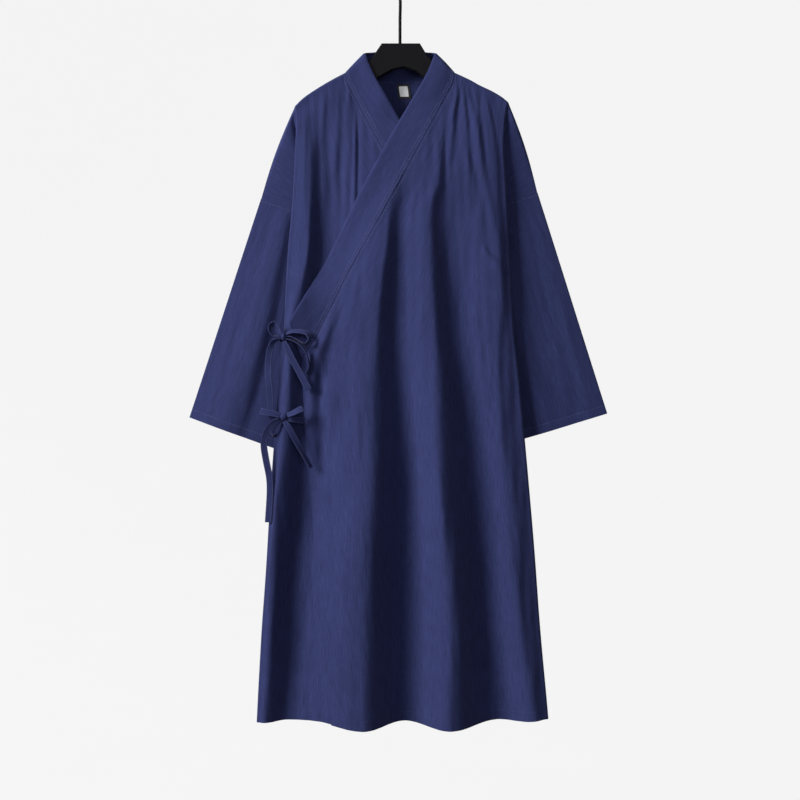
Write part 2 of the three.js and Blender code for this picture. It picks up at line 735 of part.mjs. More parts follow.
// x of a front's inner line: the under front's hidden part reaches a little less far across
function innerLine(sign, x) {
  if (sign > 0) return x;
  return x < 0 ? -x * UNDERLAP_SHARE : -x;
}

// How far the shoulder seam stands above the straight line from the neck to the hanger's tip
function shoulderRise(side, x) {
  if (x <= NECK_SIDE.x) return 0;
  const shoulder = shoulderLine(side);
  const share = (x - NECK_SIDE.x) / (side.tip.x - NECK_SIDE.x);
  return shoulder(x) - mix(shoulder(NECK_SIDE.x), side.tip.z, share);
}

// A front: the outer one goes from the right side to the left, the under one the other way
function frontCloth(outer) {
  const cloth = newCloth();
  const side = outer ? SIDES.right : SIDES.left;
  const lift = outer ? OUTER_LIFT : UNDER_LIFT;
  const edgeLine = outer ? frontRightEdge : frontLeftEdge;
  const shoulder = shoulderLine(side);
  const rows = [];
  ROWS.forEach((row, k) => {
    const edgeZ = edgeHeight(side, row, k);
    const innerX = innerLine(side.sign, frontSeam(row.inner));
    const formed = edgeLine(edgeZ) - side.sign * EDGE_ROUND * foldShare(row);
    const edgeX = mix(side.sign * side.tip.x, formed, smooth(k / EDGE_BLEND_ROWS));
    const indices = [];
    for (let j = 0; j <= FRONT_COLUMNS; j += 1) {
      const even = j / FRONT_COLUMNS;
      const u = outer ? even : 1 - Math.pow(1 - even, UNDER_COLUMN_POWER);
      const x = mix(innerX, edgeX, u);
      let z = mix(row.inner, edgeZ, u) + shoulderRise(side, Math.abs(x)) * (1 - smooth(k / SETTLE_ROWS));
      if (k === ROWS.length - 1) z = hem(x);
      const y = frontDepth(x, z, outer ? frontForm : underForm, shoulder, lift, k);
      const index = addPoint(cloth, vector(x, y, z));
      if (k === 0) flatten(cloth, index, vector(0, 1, 0));
      indices.push(index);
    }
    if (k > 0) addStrip(cloth, rows[k - 1], indices);
    rows.push(indices);
  });
  const edgeIndex = rows.map((indices) => indices[FRONT_COLUMNS]);
  const edgePoints = edgeIndex.map((index) => cloth.points[index]);
  addSide(cloth, side, -1, outer ? OUTER_NOSE : UNDER_NOSE, edgePoints, edgeIndex);
  cloth.inner = rows.map((indices) => indices[0]);
  cloth.second = rows.map((indices) => indices[1]);
  return cloth;
}

// The under front's own form: as the shared form where it shows, flatter where the outer front covers it
function underForm(x, z) {
  const cover = z > BAND_EDGE[BAND_EDGE.length - 1][0] ? bandEdge(z) : frontSeam(z);
  const across = smooth((x - cover - COVER_ACROSS.start) / COVER_ACROSS.span);
  const below = smooth((-z - COVER_DOWN.start) / COVER_DOWN.span);
  return mix(frontForm(x, z), underRest(z), UNDER_RELAX * across * below);
}

// Depth of a front: over the hanger near the shoulder, then the folded form with its own lift
function frontDepth(x, z, form, shoulder, lift, row) {
  const reach = Math.abs(x) >= NECK_SIDE.x ? shoulder(Math.abs(x)) : NECK_SIDE.z;
  const drop = row === 0 ? 0 : Math.max(LEAST_DROP, reach - z);
  const near = -overHanger(drop);
  const far = form(x, z) + lift * smooth((drop - LIFT_BLEND.start) / LIFT_BLEND.span);
  return mix(near, far, smooth((drop - FRONT_BLEND.start) / FRONT_BLEND.span));
}

// Depth of the back at a drop below its top edge: from that edge's own depth to the folded form
function backDepth(x, z, near, drop) {
  return mix(near, backForm(x, z), smooth((drop - BACK_BLEND.start) / BACK_BLEND.span));
}

// The top edge of one half of the back: along the band's seam, then along the shoulder seam
function backTop(side) {
  const shoulder = shoulderLine(side);
  const top = [vector(0, NECK_MIDDLE.y, NECK_MIDDLE.z)];
  for (const row of NECK.slice(1).reverse()) top.push(vector(side.sign * row.sx, row.sy, row.sz));
  top.push(vector(side.sign * NECK_SIDE.x, SEAM_GAP / 2, NECK_SIDE.z));
  for (let j = 1; j <= BACK_SHOULDER_COLUMNS; j += 1) {
    const x = mix(NECK_SIDE.x, side.tip.x, j / BACK_SHOULDER_COLUMNS);
    top.push(vector(side.sign * x, SEAM_GAP / 2, shoulder(x)));
  }
  return top;
}

// A point of the back below one point of its top edge
function backPoint(side, start, share, k, edgeX, edgeZ) {
  const shoulder = shoulderLine(side);
  const outward = Math.abs(start.x) / side.tip.x;
  const fall = mix(BACK_MIDDLE_Z[0] - BACK_MIDDLE_Z[k], side.tip.z - edgeZ, outward);
  const fullFall = mix(BACK_MIDDLE_Z[0] - LOWEST, side.tip.z - LOWEST, outward);
  const z = mix(start.z, BACK_HEM_Z, fall / fullFall);
  if (k === 0) return vector(start.x, start.y, z);
  const straight = Math.abs(start.x) + outward * (edgeX - side.tip.x);
  const x = side.sign * mix(straight, share * edgeX, smooth((k - 1) / BACK_SPREAD_ROWS));
  const reach = Math.abs(x) >= NECK_SIDE.x ? shoulder(Math.abs(x)) : start.z;
  const drop = reach - z;
  const onShoulder = smooth((Math.abs(start.x) - NECK_SIDE.x + SHOULDER_BLEND) / SHOULDER_BLEND);
  const near = mix(start.y, overHanger(Math.max(LEAST_DROP, drop)), onShoulder);
  return vector(x, backDepth(x, z, near, drop), z);
}

function backCloth() {
  const cloth = newCloth();
  const yAxis = vector(0, 1, 0);
  const rowsOf = {};
  let middle = null;
  for (const side of [SIDES.left, SIDES.right]) {
    const top = backTop(side);
    const last = top.length - 1;
    const frontEdge = side.sign < 0 ? frontLeftEdge : frontRightEdge;
    const indexRows = [];
    ROWS.forEach((row, k) => {
      const edgeZ = edgeHeight(side, row, k);
      const inset = BACK_EDGE_INSET * smooth(k / SETTLE_ROWS) + EDGE_ROUND * foldShare(row);
      const edgeX = mix(side.tip.x, Math.abs(frontEdge(edgeZ)) - inset, smooth(k / EDGE_BLEND_ROWS));
      const indices = top.map((start, c) => {
        if (c === 0 && middle) return middle[k];
        return addPoint(cloth, backPoint(side, start, c / last, k, edgeX, edgeZ));
      });
      if (k === 0) indices.slice(NECK.length).forEach((index) => flatten(cloth, index, yAxis));
      indexRows.push(indices);
    });
    middle = indexRows.map((indices) => indices[0]);
    for (let k = 0; k + 1 < indexRows.length; k += 1) {
      if (side.sign > 0) addStrip(cloth, indexRows[k + 1], indexRows[k]);
      else addStrip(cloth, indexRows[k], indexRows[k + 1]);
    }
    const edgeIndex = indexRows.map((indices) => indices[last]);
    const edgePoints = edgeIndex.map((index) => cloth.points[index]);
    const firstSideFace = cloth.faces.length;
    addSide(cloth, side, 1, BACK_NOSE, edgePoints, edgeIndex);
    if (side.sign > 0) {
      for (let i = firstSideFace; i < cloth.faces.length; i += 1) cloth.faces[i].reverse();
    }
    rowsOf[side.sign] = indexRows;
  }
  cloth.rowsOf = rowsOf;
  return cloth;
}

// The collar band: stations along the outer front's seam, over the neck and down the under front's seam
function bandCloth(outerFront, underFront, back) {
  const stations = [];
  const addFrontStation = (front, k, sign, lift) => {
    const seam = front.points[front.inner[k]];
    const edgeZ = BAND_EDGE_Z[k];
    const edgeX = innerLine(sign, bandEdge(edgeZ));
    const form = sign > 0 ? frontForm : underForm;
    const y = k < BAND_EDGE_Y.length ? BAND_EDGE_Y[k] : form(edgeX, edgeZ) + lift;
    const edge = vector(edgeX, y, edgeZ);
    stations.push({ seam, edge, front, index: front.inner[k], next: front.second[k] });
  };
  for (let k = BAND_END_ROW; k >= 1; k -= 1) addFrontStation(outerFront, k, 1, OUTER_LIFT);
  const neckStation = (i, sign) => {
    const row = NECK[i];
    const column = NECK.length - i;
    const rows = back.rowsOf[sign];
    stations.push({
      seam: i === 0 ? vector(sign * row.sx, 0, row.sz) : back.points[rows[0][column]],
      edge: vector(sign * row.fx, row.fy, row.fz),
      front: back,
      index: rows[0][column],
      next: rows[1][column],
      shoulder: i === 0,
      fronts: sign > 0 ? outerFront : underFront,
    });
  };
  for (let i = 0; i < NECK.length; i += 1) neckStation(i, 1);
  stations.push({
    seam: back.points[back.rowsOf[1][0][0]],
    edge: vector(0, BAND_MIDDLE.y, BAND_MIDDLE.z),
    front: back,
    index: back.rowsOf[1][0][0],
    next: back.rowsOf[1][1][0],
  });
  for (let i = NECK.length - 1; i >= 0; i -= 1) neckStation(i, -1);
  for (let k = 1; k <= BAND_END_ROW; k += 1) addFrontStation(underFront, k, -1, UNDER_LIFT);

  const cloth = newCloth();
  const rows = [];
  stations.forEach((station, i) => {
    const before = stations[Math.max(0, i - 1)].seam;
    const after = stations[Math.min(stations.length - 1, i + 1)].seam;
    const along = after.clone().sub(before).normalize();
    const away = station.front.points[station.next].clone().sub(station.seam).normalize();
    const toward = station.edge.clone().sub(station.seam).normalize();
    const across = toward.clone().sub(away).normalize();
    if (station.shoulder) across.y = 0;
    const normal = across.clone().cross(along);
    if (station.shoulder) normal.y = 0;
    normal.normalize();
    const fromEnd = Math.min(i, stations.length - 1 - i);
    const corner = Math.abs(fromEnd - BAND_END_ROW) <= 1;
    const seamPoint = station.seam.clone().addScaledVector(across, corner ? NECK_CORNER_GAP : BAND_GAP);
    const edgePoint = station.edge;
    const bulge = normal.clone().multiplyScalar(-BAND_BULGE);
    const middle = seamPoint.clone().lerp(edgePoint, 0.5).add(bulge);
    const indices = [addPoint(cloth, seamPoint), addPoint(cloth, middle), addPoint(cloth, edgePoint)];
    cloth.normals.set(indices[0], normal);
    rows.push(indices);
    const facing = clothFacing(station.front, station.index, normal);
    station.front.normals.set(station.index, normal.clone().multiplyScalar(facing));
    if (station.shoulder) {
      const front = station.fronts;
      const frontFacing = clothFacing(front, front.inner[0], normal);
      front.normals.set(front.inner[0], normal.clone().multiplyScalar(frontFacing));
    }
  });
  for (let i = 0; i + 1 < rows.length; i += 1) addStrip(cloth, rows[i], rows[i + 1]);
  rows.forEach((indices) => {
    const normal = cloth.normals.get(indices[0]);
    cloth.normals.set(indices[0], normal.clone().multiplyScalar(clothFacing(cloth, indices[1], normal)));
  });
  return cloth;
}

// +1 when the cloth's own outward direction at a point agrees with the given one, else -1
function clothFacing(cloth, index, direction) {
  const sum = vector(0, 0, 0);
  for (const [a, b, c] of cloth.faces) {
    if (a !== index && b !== index && c !== index) continue;
    const pa = cloth.points[a];
    sum.add(cloth.points[b].clone().sub(pa).cross(cloth.points[c].clone().sub(pa)));
  }
  return sum.dot(direction) < 0 ? -1 : 1;
}

// A sleeve: rings from the armhole to the cuff, front half then back half
function sleeveCloth(side) {
  const cloth = newCloth();
  const across = armAcross(side);
  const down = armDown(side);
  const ringIndices = [];
  for (let r = 0; r < SLEEVE_RINGS; r += 1) {
    const t = r / (SLEEVE_RINGS - 1);
    const outerX = mix(side.armTop.x, side.cuffTop.x, t);
    const outerZ = mix(side.armTop.z, side.cuffTop.z, t);
    const width = mix(ARMHOLE_WIDTH - UNDERARM_EASE, CUFF_WIDTH, smooth(t));
    const inX = mix(side.armInward.x, side.cuffInward.x, t);
    const inZ = mix(side.armInward.z, side.cuffInward.z, t);
    const deepest = mix(ARMHOLE_HALF_DEPTH, CUFF_HALF_DEPTH, smooth(t * 2));
    const indices = [];
    const total = 2 * SLEEVE_HALF_COLUMNS;
    for (let j = 0; j < total; j += 1) {
      const front = j <= SLEEVE_HALF_COLUMNS;
      const step = front ? j : total - j;
      const s = (1 - Math.cos((Math.PI * step) / SLEEVE_HALF_COLUMNS)) / 2;
      const middle = mix(mix(ARMHOLE_START_Y, UNDERARM_Y, s), CUFF_Y, smooth(t));
      const fold = SLEEVE_FOLD * smooth(t * 2.5) * creaseShape(side, s);
      const half = armHalf(s, deepest);
      const y = middle + (front ? -half - fold * Math.sin(Math.PI * s) : half);
      const point = vector(side.sign * (outerX + s * width * inX), y, outerZ + s * width * inZ);
      if (r === 0) point.addScaledVector(down, SLEEVE_GAP);
      const index = addPoint(cloth, point);
      if (r === 0) flatten(cloth, index, down);
      if (r === 0 && j === 0) cloth.normals.set(index, across.clone().negate());
      if (r === 0 && j === SLEEVE_HALF_COLUMNS) cloth.normals.set(index, across.clone());
      indices.push(index);
    }
    indices.push(indices[0]);
    ringIndices.push(indices);
  }
  for (let r = 0; r + 1 < ringIndices.length; r += 1) {
    if (side.sign > 0) addStrip(cloth, ringIndices[r + 1], ringIndices[r]);
    else addStrip(cloth, ringIndices[r], ringIndices[r + 1]);
  }
  return cloth;
}

// +1 at the sleeve's long crest, -1 at its long trough
function creaseShape(side, s) {
  const crest = Math.exp(-Math.pow((s - side.creaseCrest) / SLEEVE_CREST_WIDTH, 2));
  const trough = Math.exp(-Math.pow((s - side.creaseTrough) / SLEEVE_TROUGH_WIDTH, 2));
  return crest - trough;
}

// Solid of the hanger: its outline pushed through its thickness, with softened edges
function hangerGeometry() {
  const shape = new THREE.Shape();
  const armTop = (side, x) => [side.sign * x, shoulderLine(side)(x) - HANGER_CLEAR];
  const outline = [
    ...HANGER_NECK_RIGHT,
    ...HANGER_ARM_RIGHT.map((x) => armTop(SIDES.right, x)),
    ...HANGER_UNDERSIDE,
    ...HANGER_ARM_LEFT.map((x) => armTop(SIDES.left, x)),
    ...HANGER_NECK_LEFT,
  ];
  outline.forEach(([x, z], i) => {
    if (i === 0) shape.moveTo(x, z);
    else shape.lineTo(x, z);
  });
  shape.closePath();
  const geometry = new THREE.ExtrudeGeometry(shape, {
    depth: 2 * HANGER_HALF_THICKNESS,
    steps: 1,
    bevelEnabled: true,
    bevelThickness: HANGER_BEVEL,
    bevelSize: HANGER_BEVEL,
    bevelOffset: -HANGER_BEVEL,
    bevelSegments: 1,
    curveSegments: 4,
  });
  geometry.rotateX(Math.PI / 2);
  geometry.translate(0, HANGER_HALF_THICKNESS, 0);
  return geometry;
}

// Wire hook: a curl open to one side, a short bend back to the middle, and the stem
function hookGeometry() {
  const radius = HOOK_INNER_RADIUS + HOOK_WIRE_RADIUS;
  const points = [];
  for (let angle = HOOK_OPEN_ANGLE; angle <= HOOK_END_ANGLE; angle += HOOK_ANGLE_STEP) {
    const turn = THREE.MathUtils.degToRad(angle);
    points.push(vector(radius * Math.cos(turn), 0, -HOOK_INNER_RADIUS + radius * Math.sin(turn)));
  }
  HOOK_BEND.forEach(([x, z]) => points.push(vector(x, 0, z)));
  for (const share of [0, 0.5, 1]) points.push(vector(0, 0, mix(HOOK_STEM_TOP, HOOK_STEM_BOTTOM, share)));
  const path = new THREE.CatmullRomCurve3(points, false, 'centripetal');
  const round = new THREE.Shape();
  round.absarc(0, 0, HOOK_WIRE_RADIUS, 0, 2 * Math.PI);
  return new THREE.ExtrudeGeometry(round, {
    steps: HOOK_STEPS,
    curveSegments: 4,
    bevelEnabled: false,
    extrudePath: path,
  });
}

// A strand of a tie: its rows smoothed into a path, with the direction across turned along it
function strandCloth(knot, rows) {
  const places = rows.map(([right, up, out]) => vector(knot.x + right, knot.y - out, knot.z + up));
  const path = new THREE.CatmullRomCurve3(places, false, 'centripetal');
  const steps = (rows.length - 1) * STRAND_STEPS;
  const cloth = newCloth();
  let previous = null;
  let lastAcross = null;
  for (let i = 0; i <= steps; i += 1) {
    const place = i / STRAND_STEPS;
    const from = rows[Math.min(rows.length - 1, Math.floor(place))];
    const to = rows[Math.min(rows.length - 1, Math.floor(place) + 1)];
    const t = place - Math.floor(place);
    const along = path.getTangent(i / steps);
    const turn = THREE.MathUtils.degToRad(mix(from[4], to[4], t));
    let flat = vector(-along.z, 0, along.x);
    if (from.length > 5) {
      const tilt = THREE.MathUtils.degToRad(mix(from[5], to[5], t));
      flat = vector(Math.cos(tilt), 0, Math.sin(tilt));
    }
    flat.normalize();
    if (lastAcross && flat.dot(lastAcross) < 0 && from.length > 5) flat.negate();
    lastAcross = flat.clone();
    const across = flat.multiplyScalar(Math.cos(turn)).add(vector(0, Math.sin(turn), 0));
    const half = (TIE_WIDTH * mix(from[3], to[3], t)) / 2;
    const middle = path.getPoint(i / steps);
    const pair = [-1, 0, 1].map((end) => addPoint(cloth, middle.clone().addScaledVector(across, end * half)));
    if (previous) addStrip(cloth, previous, pair);
    previous = pair;
  }
  return cloth;
}

function knotGeometry(knot) {
  const geometry = new THREE.SphereGeometry(1, KNOT_COLUMNS, KNOT_ROWS);
  geometry.scale(knot.halfX, knot.halfY, knot.halfZ);
  geometry.translate(knot.x, knot.y, knot.z);
  return geometry;
}

// A patch on the inside of the back, made from the back's own depth moved inwards
function patchGeometry(patch) {
  const cloth = newCloth();
  let previous = null;
  const away = CLOTH_WALL / 2 + patch.out + patch.wall / 2;
  for (const z of [patch.top, mix(patch.top, patch.bottom, 0.5), patch.bottom]) {
    const indices = [];
    for (let i = 0; i <= LABEL_COLUMNS; i += 1) {
      const x = mix(patch.left, patch.right, i / LABEL_COLUMNS);
      const carrier = backDepth(x, z, neckDepth(Math.abs(x)), NECK_MIDDLE.z - z);
      indices.push(addPoint(cloth, vector(x, carrier - away, z)));
    }
    if (previous) addStrip(cloth, previous, indices);
    previous = indices;
  }
  return clothWall(cloth, patch.wall);
}

function paint(color) {
  return new THREE.MeshStandardMaterial({ color, roughness: 0.9, metalness: 0 });
}

function addMesh(group, name, geometry, color) {
  const mesh = new THREE.Mesh(geometry, paint(color));
  mesh.name = name;
  group.add(mesh);
}

function buildDress() {
  const group = new THREE.Group();
  const navy = 0x3a3c6c;
  const outerFront = frontCloth(true);
  const underFront = frontCloth(false);
  const back = backCloth();
  const band = bandCloth(outerFront, underFront, back);
  addMesh(group, 'back', clothWall(back, CLOTH_WALL), navy);
  addMesh(group, 'outer_front', clothWall(outerFront, CLOTH_WALL), navy);
  addMesh(group, 'under_front', clothWall(underFront, CLOTH_WALL), navy);
  addMesh(group, 'collar_band', clothWall(band, BAND_WALL), navy);
  addMesh(group, 'sleeve_left', clothWall(sleeveCloth(SIDES.left), CLOTH_WALL), navy);
  addMesh(group, 'sleeve_right', clothWall(sleeveCloth(SIDES.right), CLOTH_WALL), navy);
  for (const bow of BOWS) {
    addMesh(group, `${bow.name}_knot`, knotGeometry(bow.knot), navy);
    for (const [name, rows] of Object.entries(bow.strands)) {
      addMesh(group, `${bow.name}_${name}`, clothWall(strandCloth(bow.knot, rows), TIE_WALL), navy);
    }
  }
  addMesh(group, 'neck_label', patchGeometry(LABEL), 0x101014);
  addMesh(group, 'label_tab', patchGeometry(LABEL_TAB), 0xe8e8e8);
  addMesh(group, 'hanger_body', hangerGeometry(), 0x15151a);
  addMesh(group, 'hanger_hook', hookGeometry(), 0x15151a);
  return group;
}

export default buildDress();
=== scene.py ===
"""Kimono wrap dress on a flat hanger: cloth shells, creases, stitching, materials and a plain studio."""
import math

import bmesh
import bpy
import numpy as np
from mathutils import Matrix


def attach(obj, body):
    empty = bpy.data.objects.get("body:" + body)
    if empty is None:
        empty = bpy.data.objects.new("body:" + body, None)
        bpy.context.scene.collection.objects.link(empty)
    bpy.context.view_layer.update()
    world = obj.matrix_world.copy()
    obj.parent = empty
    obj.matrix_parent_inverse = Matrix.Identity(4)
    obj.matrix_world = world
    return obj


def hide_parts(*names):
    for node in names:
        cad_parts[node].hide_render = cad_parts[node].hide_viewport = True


bl_info = {
    "name": "Kimono Wrap Dress",
    "version": (1, 0, 0),
    "blender": (4, 5, 0),
    "location": "View3D > Sidebar > Wrap Dress",
    "description": "Builds the cloth, ties, stitching and studio of a hanging wrap dress",
    "category": "Object",
}

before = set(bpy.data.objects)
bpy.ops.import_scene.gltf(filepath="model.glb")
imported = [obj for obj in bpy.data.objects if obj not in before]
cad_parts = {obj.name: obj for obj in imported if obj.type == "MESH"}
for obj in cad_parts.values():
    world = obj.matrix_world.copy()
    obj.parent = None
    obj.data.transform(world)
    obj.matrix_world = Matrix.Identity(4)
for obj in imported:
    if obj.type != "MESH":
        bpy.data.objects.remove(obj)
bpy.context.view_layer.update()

# Sizes are in millimetres and in the part's frame: +X to the viewer's right, -Y the front, +Z up
MM = 0.001

# Cloth
CLOTH_WALL = 1.1
BAND_WALL = 2.0
BAND_BULGE = 0.25
SEAM_GAP = 0.3
BAND_GAP = 0.05
NECK_CORNER_GAP = 0.3
OUTER_LIFT = -4.0
UNDER_LIFT = 2.0
UNDER_RELAX = 0.7
UNDERLAP_SHARE = 0.93
WELD = 0.02

# Sleeves
ARMHOLE_WIDTH = 168.0
CUFF_WIDTH = 171.0
ARMHOLE_HALF_DEPTH = 7.0
CUFF_HALF_DEPTH = 9.0
ARMHOLE_START_Y = 3.0
UNDERARM_Y = 12.0
CUFF_Y = 9.0
UNDERARM_EASE = 9.0
SLEEVE_FOLD = 3.2
SLEEVE_ROUNDNESS = 0.8
SLEEVE_CREST_WIDTH = 0.16
SLEEVE_TROUGH_WIDTH = 0.14
SLEEVE_SIZE = (170, 420)
SLEEVE_OPENING_RATE = 2
SLEEVE_FOLD_RATE = 2.5
SLEEVE_SETTLE_SHARE = 0.05
SLEEVE_BACK_RELIEF = 0.7

# Side folds
OUTER_NOSE = 12.0
UNDER_NOSE = 6.0
BACK_NOSE = -6.0
EDGE_ROUND = 3.5
BACK_EDGE_INSET = 7.0
RETURN_START_SHARE = 0.4
RETURN_INSET = 0.5
EDGE_BLEND_ROWS = 4
SETTLE_ROWS = 6
DROP_BOW = 4.0
PLEAT_START = 0.03
PLEAT_BEND_INWARD = 2.0
PLEAT_BEND_DOWN = 96.0

# Blends as a start and a span: in millimetres below the shoulder, past the covering edge or below the
# hook, or in rows
FRONT_BLEND = (6, 40)
LIFT_BLEND = (15, 60)
BACK_BLEND = (6, 70)
COVER_ACROSS = (5, 30)
COVER_DOWN = (300, 120)
BACK_SPREAD = (1, 8)
HEM_BLEND = (21, 3)
CREASE_START_ROWS = (0.6, 2)
INNER_SETTLE_RATE = 12

# How far the cloth stands off the hanger's middle, by the drop below the shoulder line
HANGER_DRAPE = [(0, 0.15), (0.8, 5.2), (5, 6.6), (30, 6.6)]

# Fineness of the shells: rows for each row of the table, and columns
FRONT_FINE = 9
FRONT_ACROSS = 170
BACK_FINE = 6
BACK_ACROSS = 84
NOSE_STEPS = 6
RETURN_STEPS = 10
DROP_STEPS = 20
DROP_STEP_POWER = 1.7
DIMPLE_PLACE = 0.035
SWELL_PLACE = 0.25
DIMPLE_ROWS = (4.0, 2.2)
DIMPLE_START_ROWS = 1.5
SLEEVE_RINGS = 110
SLEEVE_HALF_COLUMNS = 44
BAND_FINE = 7
BAND_ACROSS = 12
BAND_EDGE_PLACES = (0.94, 0.97, 0.985, 1.0)
BAND_INNER_REACH = 0.91
BAND_AWAY_COLUMN = 6
BAND_BULGE_POWER = 0.7
BAND_FOLD_RATE = 5
BAND_ROLL = 1.5
BAND_ROLL_START = 0.93

# Creases: the share of the width at their start and its growth, the fades at both ends as a start and a
# span, and the gain of a step
CREASE_WIDTH = (0.7, 0.6)
CREASE_START_FADE = (-0.12, 0.3)
CREASE_END_FADE = (-1.12, 0.4)
CREASE_STEP_GAIN = 1.6

# Faint waves all over the cloth, then each piece's seed and height
SOFT_WAVE_COUNT = 14
SOFT_WAVE_WIDTH = (34, 120)
SOFT_WAVE_LENGTH = (110, 420)
SOFT_WAVE_SIZE = (0.4, 1.0)
SOFT_WAVES = {"outer": (3, 0.55), "under": (7, 0.55), "back": (11, 0.6), "sleeve": (5, 0.35)}

# Narrow upright wrinkles all over the cloth, then each piece's seed
FINE_FOLD_COUNT = 12
FINE_FOLD_WIDTH = (13, 30)
FINE_FOLD_LENGTH = (160, 420)
FINE_FOLD_SIDE_FADE = (90, 260)
FINE_FOLD_LEAN = 0.06
FINE_FOLD_HEIGHT = 0.15
FINE_FOLD_SEEDS = {"outer": 21, "under": 22, "back": 23, "sleeve": 24}

# The crosswise form of the fronts: x of each fold line, a row per height
FRONT_X = [
    # z, left, c_crest, c_trough, a_crest, a_trough, b_crest, b_trough, r_crest, right
    (-262, -186, -169, -148, -4, 7, 72, 83, 146, 190),
    (-330, -189, -166, -144, -6, 8, 74, 83, 153, 188),
    (-400, -192, -164, -142, -11, 8, 68, 85, 162, 191),
    (-460, -196, -164, -144, -22, 0, 50, 81, 166, 194),
    (-526, -202, -167, -146, -29, -3, 50, 85, 176, 197),
    (-620, -207, -187, -160, -40, -9, 58, 92, 180, 202),
    (-670, -209, -198, -175, -42, -10, 61, 95, 176, 205),
    (-742, -216, -200, -176, -47, -5, 66, 108, 175, 213),
    (-850, -225, -207, -172, -51, 5, 68, 128, 184, 223),
    (-976, -233, -221, -171, -55, 13, 74, 140, 198, 234),
    (-1088, -239, -231, -187, -63, 13, 84, 149, 203, 243),
    (-1207, -247, -234, -193, -65, 11, 91, 155, 218, 251),
    (-1385, -256, -242, -205, -67, 9, 88, 174, 240, 265),
]

# The depth of the same fold lines (more negative stands further forward)
FRONT_Y = [
    # z, left, c_crest, c_trough, a_crest, a_trough, b_crest, b_trough, r_crest, right
    (-262, -8, -9, -8, -9, -9, -9, -8, -9, -8),
    (-330, -14, -17, -11, -20, -19, -20, -17, -18, -12),
    (-400, -16, -21, -9, -25, -23, -27, -20, -22, -14),
    (-460, -17, -24, -8, -28, -19, -31, -17, -24, -15),
    (-526, -18, -27, -6, -32, -16, -35, -15, -26, -16),
    (-620, -20, -27, -12, -35, -13, -39, -12, -27, -17),
    (-670, -21, -27, -15, -37, -12, -40, -11, -27, -18),
    (-742, -22, -28, -13, -41, -9, -43, -9, -28, -19),
    (-850, -24, -32, -11, -45, -5, -48, -5, -30, -21),
    (-976, -30, -38, -4, -52, -2, -54, -2, -33, -24),
    (-1088, -36, -42, -10, -58, -2, -56, -3, -38, -27),
    (-1207, -40, -46, -15, -62, -4, -60, -6, -44, -32),
    (-1385, -42, -48, -22, -66, -8, -68, -6, -52, -40),
]

# Depth at which the covered part of the under front hangs
UNDER_REST = [(-262, -8), (-330, -13), (-400, -15), (-526, -12), (-742, -7), (-976, -1), (-1385, -4)]

# The back's fold lines: x and depth, a row per height
BACK_X = [
    # z, left, l_crest, l_trough, m_crest, r_trough, r_crest, right
    (-262, -190, -150, -95, -10, 60, 130, 194),
    (-400, -192, -158, -96, -12, 66, 144, 196),
    (-500, -196, -162, -95, -15, 70, 150, 196),
    (-850, -220, -172, -90, -20, 80, 165, 218),
    (-1090, -236, -180, -92, -24, 84, 176, 238),
    (-1385, -250, -190, -95, -25, 85, 185, 258),
]
BACK_Y = [
    # z, left, l_crest, l_trough, m_crest, r_trough, r_crest, right
    (-262, 8, 10, 18, 30, 26, 12, 8),
    (-400, 21, 26, 30, 34, 31, 28, 21),
    (-500, 30, 36, 32, 38, 33, 38, 30),
    (-850, 34, 45, 26, 47, 28, 45, 34),
    (-1090, 38, 50, 22, 52, 24, 50, 38),
    (-1385, 40, 53, 20, 55, 22, 53, 40),
]

# Hem of the fronts as x, z; the back's hem is level
HEM = [(-257, -1372), (-150, -1371), (-65, -1382), (9, -1375), (90, -1381), (175, -1373), (266, -1365)]
BACK_HEM_Z = -1370.0
LOWEST = -1385.0

# Seam between the outer front and the band, then the front's free edge, as z, x
FRONT_SEAM = [
    (-203, 98), (-222, 95), (-250, 80), (-296, 56), (-348, 28), (-400, 0), (-478, -43), (-561, -90),
    (-608, -114), (-680, -150), (-721, -178), (-800, -174), (-884, -170), (-976, -161), (-1064, -153),
    (-1385, -122),
]

# The band's free edge as z, x
BAND_EDGE = [
    (-167, 64), (-197, 53), (-226, 38), (-270, 12), (-320, -17), (-374, -46), (-416, -69), (-481, -102),
    (-539, -130), (-580, -155), (-625, -181), (-655, -199),
]
BAND_EDGE_Z = [
    -167, -168, -172, -188, -215, -247, -281, -319, -360, -404, -452, -503, -552, -592, -626, -655,
]
BAND_EDGE_Y = [-1, -4, -7.5, -9.5, -11, -14]
BAND_END_ROW = 15

# The neck: seam x, y, z and free edge x, y, z from the shoulder to near the middle of the back
NECK = [
    (98, 0, -203, 64, -1, -167),
    (94, 10, -206, 61, 7, -165),
    (82, 18, -209, 53, 14, -163),
    (62, 24, -211, 41, 19, -161),
    (36, 28, -212.5, 25, 22, -160),
    (12, 29.5, -213, 8, 24, -160),
]
NECK_TURN = (4, 44)
NECK_TURN_DROP = 26.0
NECK_SIDE_X = 98.0
NECK_SIDE_Z = -203.0
NECK_MIDDLE = (0, 29.7, -213)
BAND_MIDDLE = (0, 24.2, -160)

# Rows of the panels: height at the inner line, drop at the side edge, the back's middle line
ROW_INNER = [
    -203, -203.8, -208, -222, -245, -275, -308, -345, -385, -428, -475, -525, -578, -630, -680, -721, -775,
    -835, -900, -975, -1055, -1140, -1225, -1308, -1385,
]
ROW_EDGE = [
    0, -0.8, -5, -21, -51, -86, -121, -156, -191, -226, -266, -308, -351, -391, -428, -464, -514, -572, -636,
    -711, -791, -876, -961, -1044, -1121,
]
BACK_MIDDLE_Z = [
    -213, -214, -218, -232, -256, -287, -322, -360, -400, -443, -490, -540, -590, -640, -685, -728, -778,
    -836, -900, -975, -1055, -1140, -1225, -1308, -1385,
]
LAST_ROW = 24
UNDERARM_ROW = 9

